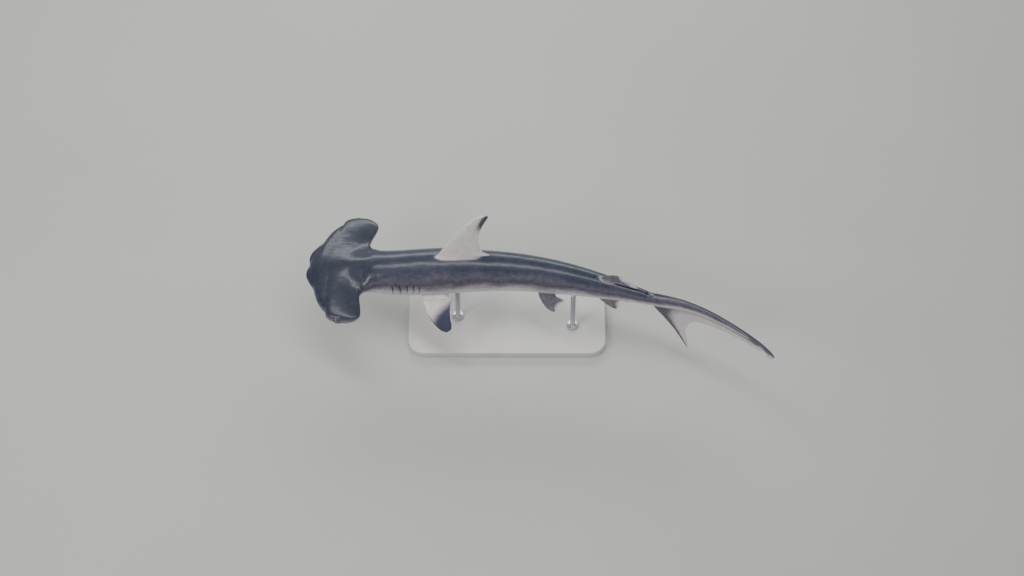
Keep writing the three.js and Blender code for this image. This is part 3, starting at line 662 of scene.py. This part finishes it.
def fin_top(fin):
    return max(abs(row[1]) for row in fin["ribs"])


def outer_share(fin):
    """The share of the way from the body to a fin's tip."""
    curve = round_curve(fin["ribs"])

    def reach(t, c):
        front, rear = np.moveaxis(curve(t)[..., [1, 3]], -1, 0)
        return (np.abs(lerp(front, rear, c)) - fin["exit"]) / (fin_top(fin) - fin["exit"])

    return reach


def middle_fin(name):
    fin = FINS[name]
    return fin_grid(fin["ribs"], MIDDLE_FIN_RIBS, taper(fin), upright, outer_share(fin))


def paired_fin(name, side):
    fin = FINS[name]
    root_y, root_z = fin["root"]

    def spot(s, r, out):
        angle = np.radians(fin["droop"] + fin["curl"] * (r / fin_top(fin)) ** 2)
        y = root_y + r * np.cos(angle) + out * np.sin(angle)
        z = root_z - r * np.sin(angle) + out * np.cos(angle)
        return np.stack([s, side * y, z], -1)

    return fin_grid(fin["ribs"], PAIRED_FIN_RIBS, taper(fin), spot, outer_share(fin))


def tail_blade():
    upper, root, lower = TAIL_THICKNESS

    def half_thickness(t):
        rising = upper + (root - upper) * t / TAIL_ROOT_SHARE
        falling = root + (lower - root) * (t - TAIL_ROOT_SHARE) / (1 - TAIL_ROOT_SHARE)
        return np.where(t < TAIL_ROOT_SHARE, rising, falling)

    def reach(t, c):
        up = 1 - t / TAIL_ROOT_SHARE
        down = (t - TAIL_ROOT_SHARE) / (1 - TAIL_ROOT_SHARE)
        return TAIL_EXIT + (1 - TAIL_EXIT) * np.where(t < TAIL_ROOT_SHARE, up, down) + 0 * c

    return fin_grid(TAIL_RIBS, TAIL_FIN_RIBS, half_thickness, upright, reach)


# How dark each fin is, from 0 to 1, at a share of the way to its tip and across it

def dorsal_marks(tip, c):
    """Dark over the rear of the outer half and at the very tip."""
    rear = smoothstep(c, 0.35, 0.95) * smoothstep(tip, 0.48, 0.82)
    end = 0.6 * smoothstep(tip + 0.3 * c, 0.96, 1.15)
    return np.clip(rear + end, 0, 1)


def pectoral_marks(tip, c):
    """Dark towards the tip and the rear, with a fine rim."""
    dusk = 0.9 * smoothstep(tip + 0.6 * c, 0.42, 1.0)
    rim = 0.4 * smoothstep(np.abs(c - 0.5), 0.44, 0.5) * smoothstep(tip, 0.3, 0.6)
    return np.clip(0.14 + dusk + rim, 0, 1)


def small_marks(tip, c):
    """Dusky, with a pale rear edge and tip."""
    return 0.75 - 0.6 * smoothstep(c + 0.3 * tip, 0.8, 1.1)


def tail_marks(tip, c):
    """Dark in front and at the tips, pale behind."""
    pale = 0.85 * smoothstep(c, 0.3, 0.8)
    end = 0.5 * smoothstep(tip, 0.9, 1)
    return np.clip(1 - pale + end, 0, 1)


# Meshes

# Part is 0 only on the new points of a seam, shade is how far the skin faces up, fin is how much of
# the colour is the fins' own, dusk is how dark that is, span and chord are the place on a fin, pores
# marks the pores, the next one marks the painted shade of the deep creases, and the last three are
# the place in the straight animal.
ATTRIBUTES = (
    "part", "shade", "fin", "dusk", "span", "chord", "pores", "crease_shade", "along", "aside", "aloft",
)


def scene_object(name, data):
    made = bpy.data.objects.new(name, data)
    bpy.context.scene.collection.objects.link(made)
    return made


def mesh_object(name, points, faces):
    mesh = bpy.data.meshes.new(name)
    mesh.from_pydata(points, [], faces)
    return scene_object(name, mesh)


def write_attribute(mesh, key, values):
    layer = mesh.attributes.get(key) or mesh.attributes.new(key, "FLOAT", "POINT")
    layer.data.foreach_set("value", values.astype(np.float32))


def ring_faces(rings, sides):
    """Numbers of the points of a grid of rings, of the points beside them, and the faces between."""
    index = np.arange(rings * sides).reshape(rings, sides)
    beside = np.roll(index, -1, axis=1)
    quads = np.stack([index[:-1], beside[:-1], beside[1:], index[1:]], -1).reshape(-1, 4)
    return index, beside, quads.tolist()


def closed_object(name, grid, attributes):
    """A closed mesh from a grid of rings in the straight animal, with a pole at each end."""
    rings, sides = grid.shape[:2]
    points = place(grid.reshape(-1, 3))
    poles = place(grid[[0, -1]].mean(1))
    index, beside, faces = ring_faces(rings, sides)
    faces += np.stack([np.full(sides, len(points)), beside[0], index[0]], -1).tolist()
    faces += np.stack([np.full(sides, len(points) + 1), index[-1], beside[-1]], -1).tolist()
    made = mesh_object(name, np.vstack([points, poles]).tolist(), faces)
    attributes = attributes | dict(zip(ATTRIBUTES[-3:], np.moveaxis(grid, -1, 0)))
    for key in ATTRIBUTES:
        values = np.broadcast_to(np.asarray(attributes.get(key, 0), float), (rings, sides))
        ends = values[[0, -1]].mean(1)
        write_attribute(made.data, key, np.concatenate([values.ravel(), ends]))
    face_outwards(made.data)
    return made


def face_outwards(mesh):
    """Turns a closed mesh's faces round if they point inwards."""
    count = len(mesh.loop_triangles)
    corners = np.zeros(count * 3, np.int32)
    mesh.loop_triangles.foreach_get("vertices", corners)
    points = read_points(mesh)[corners].reshape(-1, 3, 3)
    volume = np.einsum("ij,ij->i", points[:, 0], np.cross(points[:, 1], points[:, 2])).sum()
    if volume < 0:
        mesh.flip_normals()


def read_points(mesh):
    points = np.zeros(len(mesh.vertices) * 3)
    mesh.vertices.foreach_get("co", points)
    return points.reshape(-1, 3)


def read_attribute(mesh, key):
    values = np.zeros(len(mesh.vertices))
    mesh.attributes[key].data.foreach_get("value", values)
    return values


def combined(body, operation, tools):
    """The body joined with or cut by the tools, which are removed."""
    collection = bpy.data.collections.new("tools")
    bpy.context.scene.collection.children.link(collection)
    for tool in tools:
        collection.objects.link(tool)
    modifier = body.modifiers.new(operation, "BOOLEAN")
    modifier.operation = operation
    modifier.operand_type = "COLLECTION"
    modifier.collection = collection
    modifier.solver = "MANIFOLD"
    graph = bpy.context.evaluated_depsgraph_get()
    mesh = bpy.data.meshes.new_from_object(body.evaluated_get(graph))
    body.modifiers.remove(modifier)
    old = body.data
    body.data = mesh
    bpy.data.meshes.remove(old)
    for tool in tools:
        bpy.data.objects.remove(tool)
    bpy.data.collections.remove(collection)
    return body


def edge_pairs(mesh):
    pairs = np.zeros(len(mesh.edges) * 2, np.int32)
    mesh.edges.foreach_get("vertices", pairs)
    return pairs.reshape(-1, 2)


def neighbour_mean(values, pairs, weights=None):
    """Mean of each vertex's neighbours, each counted by its weight."""
    count = len(values)
    weights = np.ones(count) if weights is None else weights
    a, b = pairs.T
    total = np.bincount(a, weights[b], count) + np.bincount(b, weights[a], count)
    columns = values.reshape(count, -1)
    sums = np.stack([
        np.bincount(a, column[b] * weights[b], count) + np.bincount(b, column[a] * weights[a], count)
        for column in columns.T
    ], -1)
    return (sums / np.maximum(total, 1e-9)[:, None]).reshape(values.shape), total > 0


def smooth_seams(mesh):
    """Rounds the creases where the fins join the body, in shape and in colour."""
    points = read_points(mesh)
    pairs = edge_pairs(mesh)
    fresh = read_attribute(mesh, "part") < 0.5
    known = (~fresh).astype(float)
    layers = {key: read_attribute(mesh, key) for key in ATTRIBUTES[1:]}
    for _ in range(SEAM_FILLS):
        for key, values in layers.items():
            mean, found = neighbour_mean(values, pairs, known)
            layers[key] = np.where(fresh & (known < 0.5) & found, mean, values)
        _, found = neighbour_mean(known, pairs, known)
        known = np.maximum(known, found)
    tree = KDTree(int(fresh.sum()))
    for n, point in enumerate(points[fresh]):
        tree.insert(point, n)
    tree.balance()
    distance = np.array([tree.find(point)[2] for point in points])
    weight = 1 - smoothstep(distance, 0, SEAM_REACH)
    near = weight > 0
    kept = near[pairs[:, 0]] | near[pairs[:, 1]]
    pairs = pairs[kept]
    for _ in range(SEAM_ROUNDS):
        mean, found = neighbour_mean(points, pairs)
        share = (weight * found * SEAM_SHARE)[:, None]
        points = points + (mean - points) * share
        for key in ("shade", "fin", "dusk"):
            mean, found = neighbour_mean(layers[key], pairs)
            layers[key] = layers[key] + (mean - layers[key]) * weight * found * SEAM_SHARE
    mesh.vertices.foreach_set("co", points.ravel())
    for key, values in layers.items():
        write_attribute(mesh, key, values)
    mesh.update()


def smooth_shaded(made):
    made.data.polygons.foreach_set("use_smooth", np.ones(len(made.data.polygons), bool))
    made.data.update()
    return made


# Materials

class Nodes:
    """A material's node tree, with short ways to add and link nodes."""

    def __init__(self, name):
        self.material = bpy.data.materials.new(name)
        self.material.use_nodes = True
        self.tree = self.material.node_tree
        self.shader = self.tree.nodes["Principled BSDF"]

    def add(self, kind, inputs=None, **settings):
        node = self.tree.nodes.new(kind)
        for key, value in settings.items():
            setattr(node, key, value)
        for key, value in (inputs or {}).items():
            self.put(node.inputs[key], value)
        return node

    def put(self, socket, value):
        if isinstance(value, bpy.types.NodeSocket):
            self.tree.links.new(value, socket)
        else:
            socket.default_value = value

    def attribute(self, name):
        return self.add("ShaderNodeAttribute", attribute_name=name).outputs["Fac"]

    def coordinates(self):
        return self.add("ShaderNodeTexCoord").outputs["Object"]

    def noise(self, scale, detail=3.0, roughness=0.5, vector=None):
        inputs = {"Scale": scale, "Detail": detail, "Roughness": roughness}
        inputs["Vector"] = vector or self.coordinates()
        return self.add("ShaderNodeTexNoise", inputs).outputs["Fac"]

    def cells(self, scale, vector):
        inputs = {"Scale": scale, "Vector": vector}
        return self.add("ShaderNodeTexVoronoi", inputs).outputs["Distance"]

    def stretched(self, vector, scale):
        """Coordinates scaled along each axis; below 1 draws a pattern out."""
        return self.add("ShaderNodeMapping", {"Vector": vector, "Scale": scale}).outputs["Vector"]

    def math(self, operation, a, b=0.0, c=0.0, clamp=False):
        node = self.add("ShaderNodeMath", operation=operation, use_clamp=clamp)
        for socket, value in zip(node.inputs, (a, b, c)):
            self.put(socket, value)
        return node.outputs[0]

    def remap(self, value, low, high, to_low=0.0, to_high=1.0):
        inputs = {"Value": value, "From Min": low, "From Max": high, "To Min": to_low, "To Max": to_high}
        node = self.add("ShaderNodeMapRange", inputs, clamp=True, interpolation_type="SMOOTHSTEP")
        return node.outputs["Result"]

    def mix(self, share, a, b, blend="MIX"):
        """Two colours mixed; each is a socket or a plain (red, green, blue)."""
        node = self.add("ShaderNodeMix", data_type="RGBA", blend_type=blend)
        a, b = ((*colour, 1) if isinstance(colour, tuple) else colour for colour in (a, b))
        for name, value in (("Factor", share), ("A", a), ("B", b)):
            socket = next(s for s in node.inputs if s.name == name and s.enabled)
            self.put(socket, value)
        return next(s for s in node.outputs if s.enabled)

    def shaded(self, colour, share):
        """The colour made darker or lighter by a share."""
        grey = self.add("ShaderNodeCombineColor", {"Red": share, "Green": share, "Blue": share})
        return self.mix(1.0, colour, grey.outputs["Color"], "MULTIPLY")

    def ramp(self, value, stops):
        node = self.add("ShaderNodeValToRGB", {"Fac": value})
        elements = node.color_ramp.elements
        while len(elements) < len(stops):
            elements.new(0.5)
        for element, (position, colour) in zip(elements, stops):
            element.position = position
            element.color = (*colour, 1)
        return node.outputs["Color"]

    def bump(self, height, strength, distance, normal=None):
        inputs = {"Height": height, "Strength": strength, "Distance": distance}
        if normal is not None:
            inputs["Normal"] = normal
        return self.add("ShaderNodeBump", inputs).outputs["Normal"]

    def finish(self, colour=None, roughness=None, normal=None, **fixed):
        for key, value in (("Base Color", colour), ("Roughness", roughness), ("Normal", normal)):
            if value is not None:
                self.put(self.shader.inputs[key], value)
        for key, value in fixed.items():
            self.shader.inputs[key.replace("_", " ")].default_value = value
        return self.material


class SkinPattern:
    """Coordinates and noises that the skin's colour and its relief share."""

    def __init__(self, n):
        place_in_animal = {"X": n.attribute("along"), "Y": n.attribute("aside"), "Z": n.attribute("aloft")}
        self.straight = n.add("ShaderNodeCombineXYZ", place_in_animal).outputs["Vector"]
        self.drawn = n.stretched(self.straight, (0.16, 1.0, 1.0))
        self.broad = n.noise(0.22, 3, 0.5, self.straight)
        self.streaks = n.noise(1.3, 5, 0.62, self.drawn)
        self.mottle = n.noise(1.1, 5, 0.62, self.straight)
        self.grain = n.noise(9, 4, 0.6, self.straight)


def body_colour_and_reflection(n, pattern):
    """From the pale belly to the dark back, with an uneven border and a lighter band of painted reflection
    on the flank.
    """
    border = n.math("MULTIPLY_ADD", pattern.broad, 0.5, -0.42)
    uneven = n.math("MULTIPLY_ADD", pattern.streaks, 0.34, border)
    level = n.math("ADD", n.attribute("shade"), uneven)
    stops = [((height + 1) / 2, colour) for height, colour in BODY_COLOURS_AND_REFLECTION]
    return n.ramp(n.math("MULTIPLY_ADD", level, 0.5, 0.5), stops)


def fin_colour(n, pattern):
    smudges = n.math("MULTIPLY_ADD", n.math("ADD", pattern.mottle, pattern.grain), 0.5, -0.5)
    dusk = n.math("ADD", n.attribute("dusk"), smudges, clamp=True)
    return n.mix(n.remap(dusk, 0.08, 0.95), FIN_PALE, FIN_DUSK)


def skin_colour(n, pattern, pores):
    """Body and fins, with blotches, grain, painted shade over the head and in the deep creases, and dark
    pores.
    """
    colour = n.mix(n.attribute("fin"), body_colour_and_reflection(n, pattern), fin_colour(n, pattern))
    blotches = n.shaded(colour, n.remap(pattern.mottle, 0.3, 0.72, 0.76, 1.22))
    blotched = n.remap(n.attribute("shade"), -0.4, 0.2, 0.25, 1.0)
    blotched = n.math("MULTIPLY", blotched, n.remap(n.attribute("fin"), 0.0, 1.0, 1.0, 0.4))
    colour = n.mix(blotched, colour, blotches)
    colour = n.shaded(colour, n.remap(pattern.grain, 0.3, 0.72, 0.88, 1.10))
    # Painted shade: the head is darkened, most at its front, fading out by the gills
    colour = n.shaded(colour, n.remap(n.attribute("along"), 6.0, 24.0, 0.78, 1.0))
    # Painted shade darkens the deep creases
    colour = n.mix(n.math("MULTIPLY", n.attribute("crease_shade"), 0.7), colour, CREASE_SHADE)
    return n.mix(n.math("MULTIPLY", pores, 0.6), colour, PORE)


def skin_relief(n, pattern, pores):
    """Fine scales, grain, long folds, pores and the rays of the fins."""
    normal = n.bump(n.cells(24.0, pattern.straight), 0.10, 0.0004)
    normal = n.bump(pattern.grain, 0.28, 0.0010, normal)
    normal = n.bump(n.noise(3.2, 4, 0.6, pattern.drawn), 0.14, 0.0020, normal)
    normal = n.bump(n.math("MULTIPLY", pores, -1), 0.5, 0.0006, normal)
    rays = n.math("SINE", n.math("MULTIPLY", n.attribute("chord"), 230))
    return n.bump(n.math("MULTIPLY", rays, n.attribute("span")), 0.22, 0.0004, normal)


def skin_material():
    n = Nodes("wet_skin")
    pattern = SkinPattern(n)
    cells = n.cells(2.6, pattern.straight)
    pores = n.math("MULTIPLY", n.remap(cells, 0.09, 0.15, 1.0, 0.0), n.attribute("pores"))
    film = n.noise(0.7, 2, 0.45, n.stretched(pattern.straight, (0.4, 1.0, 1.0)))
    n.put(n.shader.inputs["Coat Normal"], n.bump(film, 0.22, 0.0040))
    rough = n.remap(pattern.mottle, 0.3, 0.75, 0.34, 0.56)
    colour = skin_colour(n, pattern, pores)
    normal = skin_relief(n, pattern, pores)
    return n.finish(colour, rough, normal, Coat_Weight=0.5, Coat_Roughness=0.22, IOR=1.4)


# The skin

def body_object():
    grid, shade, crease_shade = body_grid()
    s = grid[..., 0]
    pores = (1 - smoothstep(s, *PORES_END)) * smoothstep(s, *PORES_START)
    attributes = {"part": 1, "shade": shade, "pores": pores, "crease_shade": crease_shade}
    return closed_object("skin", grid, attributes)


def fin_objects():
    """The fins, each from its name, shape, marks and the share of colour that is its own."""
    parts = [
        ("first_dorsal", middle_fin("first_dorsal_fin"), dorsal_marks, 1.0),
        ("second_dorsal", middle_fin("second_dorsal_fin"), small_marks, 0.75),
        ("anal", middle_fin("anal_fin"), small_marks, 0.75),
        ("tail", tail_blade(), tail_marks, 0.8),
    ]
    for side in (-1, 1):
        parts += [
            (f"pectoral_{side}", paired_fin("pectoral_fin", side), pectoral_marks, 0.9),
            (f"pelvic_{side}", paired_fin("pelvic_fin", side), small_marks, 0.75),
        ]
    return [
        closed_object(name, points, {
            "part": 2, "shade": FIN_SHADE, "fin": own, "dusk": marks(tip, c), "chord": c,
            "span": smoothstep(tip, *RAYS_START),
        })
        for name, (points, tip, c), marks, own in parts
    ]


def add_skin():
    """Body and fins joined, with hollows for the eyes."""
    body = combined(body_object(), "UNION", fin_objects())
    smooth_seams(body.data)
    radius = EYE_RADIUS + SOCKET_GAP
    sockets = [ball(f"socket_{side}", side, radius, SOCKET_SEGMENTS) for side in (-1, 1)]
    combined(body, "DIFFERENCE", sockets)
    smooth_shaded(body)
    body.data.materials.clear()
    body.data.materials.append(skin_material())
    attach(body, "root")
    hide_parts(*FLESH_NODES)


# Eyes

def eye_outward(side, reach=20.0):
    """The way out of the head at the eye, from the midline to a point far out."""
    return place(np.array([EYE_STATION, side * reach, 0])) - place(np.array([EYE_STATION, 0.0, 0]))


def ball(name, side, radius, segments):
    """A ball at the eye's place, with its axis pointing out of the head."""
    centre = place(eye_centre(side))
    turn = Vector(eye_outward(side)).to_track_quat("Z", "Y").to_matrix()
    azimuth = np.linspace(0, 2 * np.pi, segments, endpoint=False)
    polar = np.linspace(0, np.pi, segments // 2 + 1)[1:-1]
    ring = np.stack([np.cos(azimuth), np.sin(azimuth)], -1)
    local = [np.concatenate([ring * np.sin(a), np.full((segments, 1), np.cos(a))], 1) for a in polar]
    points = np.concatenate(local + [[[0, 0, 1]], [[0, 0, -1]]]) * radius / 1000
    points = points @ np.array(turn).T * np.array([1, 1, EYE_FLATNESS]) + centre
    rings = len(polar)
    index = np.arange(rings * segments).reshape(rings, segments)
    beside = np.roll(index, -1, axis=1)
    faces = np.stack([index[:-1], index[1:], beside[1:], beside[:-1]], -1).reshape(-1, 4).tolist()
    top, bottom = rings * segments, rings * segments + 1
    faces += np.stack([np.full(segments, top), index[0], beside[0]], -1).tolist()
    faces += np.stack([np.full(segments, bottom), beside[-1], index[-1]], -1).tolist()
    made = mesh_object(name, points.tolist(), faces)
    face_outwards(made.data)
    return made


def add_eye(side, suffix):
    """An eyeball whose points know how far they are from the middle of the iris and the pupil."""
    eye = ball(f"eyeball_{suffix}", side, EYE_RADIUS, EYE_SEGMENTS)
    points = read_points(eye.data)
    centre = place(eye_centre(side))
    outward = eye_outward(side)
    outward /= np.linalg.norm(outward)
    local = (points - centre) * 1000 / EYE_RADIUS / np.array([1, 1, EYE_FLATNESS])
    depth = local @ outward
    up = local[:, 2]
    flat = local - depth[:, None] * outward - up[:, None] * np.array([0, 0, 1])
    along = np.linalg.norm(flat, axis=1)
    half_width, half_height = PUPIL
    rings = {"iris": np.hypot(along, up), "pupil": np.hypot(along / half_width, up / half_height)}
    for key, values in rings.items():
        write_attribute(eye.data, key, np.where(depth > 0, values, 2))
    smooth_shaded(eye)
    eye.data.materials.append(eye_material(suffix))
    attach(eye, "root")
    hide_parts(f"eye_{suffix}")


def eye_material(suffix):
    n = Nodes(f"eye_{suffix}")
    fibres = n.noise(900, 4, 0.6)
    uneven = n.math("MULTIPLY_ADD", fibres, 0.12, -0.06)
    iris = n.ramp(n.math("ADD", n.attribute("iris"), uneven), IRIS_COLOURS)
    colour = n.mix(n.remap(n.attribute("pupil"), 0.9, 1.05, 1.0, 0.0), iris, PUPIL_BLACK)
    normal = n.bump(fibres, 0.05, 0.0001)
    return n.finish(colour, None, normal, Roughness=0.12, Coat_Weight=1.0, Coat_Roughness=0.02)


# Stand

def painted_material():
    n = Nodes("stand_paint")
    fine = n.noise(700, 3, 0.6)
    broad = n.noise(9, 3, 0.5)
    colour = n.mix(n.remap(broad, 0.3, 0.7), *PAINT)
    return n.finish(colour, n.remap(broad, 0.3, 0.7, 0.42, 0.52), n.bump(fine, 0.15, 0.0002))


def steel_material():
    n = Nodes("brushed_steel")
    lines = n.noise(1600, 4, 0.7, n.stretched(n.coordinates(), (1.0, 1.0, 0.03)))
    rough = n.remap(lines, 0.3, 0.7, 0.24, 0.4)
    return n.finish(n.mix(lines, *STEEL), rough, n.bump(lines, 0.2, 0.0001), Metallic=1.0)


def turned(name, centre, outline):
    """A piece turned about an upright axis, from (radius, height) pairs from its foot to its top."""
    angle = np.linspace(0, 2 * np.pi, ROD_SIDES, endpoint=False)
    circle = np.stack([np.cos(angle), np.sin(angle), 0 * angle], -1)
    rings = np.array([circle * radius + (*centre, height) for radius, height in outline])
    return capped_piece(name, rings)


def capped_piece(name, rings):
    """A closed piece from rings of points, with a flat face on each end."""
    index, _, faces = ring_faces(*rings.shape[:2])
    faces += [index[0][::-1].tolist(), index[-1].tolist()]
    made = mesh_object(name, rings.reshape(-1, 3).tolist(), faces)
    smooth_shaded(made)
    for face in list(made.data.polygons)[-2:]:
        face.use_smooth = False
    return made


def quarter(radius, height, bevel, top):
    """Outline of a rounded edge, from the side up to the top or from the bottom up to the side."""
    turn = np.linspace(0, np.pi / 2, BEVEL_STEPS)
    if top:
        return [(radius - bevel * (1 - math.cos(a)), height - bevel * (1 - math.sin(a))) for a in turn]
    return [(radius - bevel * (1 - math.sin(a)), height + bevel * (1 - math.cos(a))) for a in turn]


def add_rod(name, material):
    """A steel rod with a round foot, as wide as its solid, let a little into the belly."""
    low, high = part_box(name)
    centre = ((low[0] + high[0]) / 2, (low[1] + high[1]) / 2)
    foot = (high[0] - low[0]) / 2
    base_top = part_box("stand_base")[1][2]
    foot_top = base_top + FOOT_HEIGHT
    outline = [(foot, base_top)] + quarter(foot, foot_top, FOOT_BEVEL, True)
    outline += [(ROD_RADIUS + FOOT_BEVEL, foot_top), (ROD_RADIUS, foot_top + FOOT_BEVEL)]
    outline += [(ROD_RADIUS, high[2] + ROD_SUNK)]
    rod = turned(name + "_fine", centre, outline)
    rod.data.materials.append(material)
    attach(rod, "root")
    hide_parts(name)


def add_base(material):
    """The base plate, with the rounded corners and edges of its solid."""
    low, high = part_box("stand_base")
    half = np.array([(high[k] - low[k]) / 2 for k in (0, 1)])
    centre = np.array([(high[k] + low[k]) / 2 for k in (0, 1)])
    turn = np.linspace(0, 2 * np.pi, BASE_SIDES, endpoint=False)
    way = np.stack([np.cos(turn), np.sin(turn)], -1)
    corner = centre + np.sign(way) * (half - BASE_CORNER)
    rings = []
    outline = quarter(0, low[2], BASE_UNDER_BEVEL, False) + quarter(0, high[2], BASE_BEVEL, True)
    for inset, height in outline:
        edge = corner + way * (BASE_CORNER + inset)
        rings.append(np.column_stack([edge, np.full(len(edge), height)]))
    base = capped_piece("stand_base_fine", np.array(rings))
    base.data.materials.append(material)
    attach(base, "root")
    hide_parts("stand_base")


def add_stand():
    add_base(painted_material())
    steel = steel_material()
    for name in ("stand_rod_front", "stand_rod_rear"):
        add_rod(name, steel)


# Stage

def add_floor():
    corners = [(x * FLOOR_REACH, y * FLOOR_REACH, 0) for x, y in ((-1, -1), (1, -1), (1, 1), (-1, 1))]
    floor = mesh_object("floor", corners, [(0, 1, 2, 3)])
    n = Nodes("floor")
    floor.data.materials.append(n.finish(n.mix(n.noise(2.2, 3, 0.5), *FLOOR), Roughness=0.85))


def add_light(name, location, target, size, power, colour):
    data = bpy.data.lights.new(name, "AREA")
    data.shape = "RECTANGLE"
    data.size, data.size_y = size
    data.energy = power
    data.color = colour
    light = scene_object(name, data)
    light.location = location
    light.rotation_euler = (Vector(target) - Vector(location)).to_track_quat("-Z", "Y").to_euler()


def add_lights():
    world = bpy.data.worlds.new("studio")
    world.use_nodes = True
    background = world.node_tree.nodes["Background"]
    background.inputs["Color"].default_value = (*SKY, 1)
    background.inputs["Strength"].default_value = SKY_STRENGTH
    bpy.context.scene.world = world
    for light in LIGHTS:
        add_light(*light)


def add_camera():
    data = bpy.data.cameras.new("camera")
    data.lens = CAMERA_LENS
    data.sensor_width = CAMERA_SENSOR
    data.clip_end = CAMERA_REACH
    camera = scene_object("camera", data)
    rise = math.radians(CAMERA_ELEVATION)
    back = Vector((0, -math.cos(rise), math.sin(rise)))
    camera.location = Vector(CAMERA_TARGET) + back * CAMERA_DISTANCE
    camera.rotation_euler = (-back).to_track_quat("-Z", "Y").to_euler()
    bpy.context.scene.camera = camera


add_camera()
add_skin()
add_eye(-1, "left")
add_eye(1, "right")
add_stand()
add_floor()
add_lights()
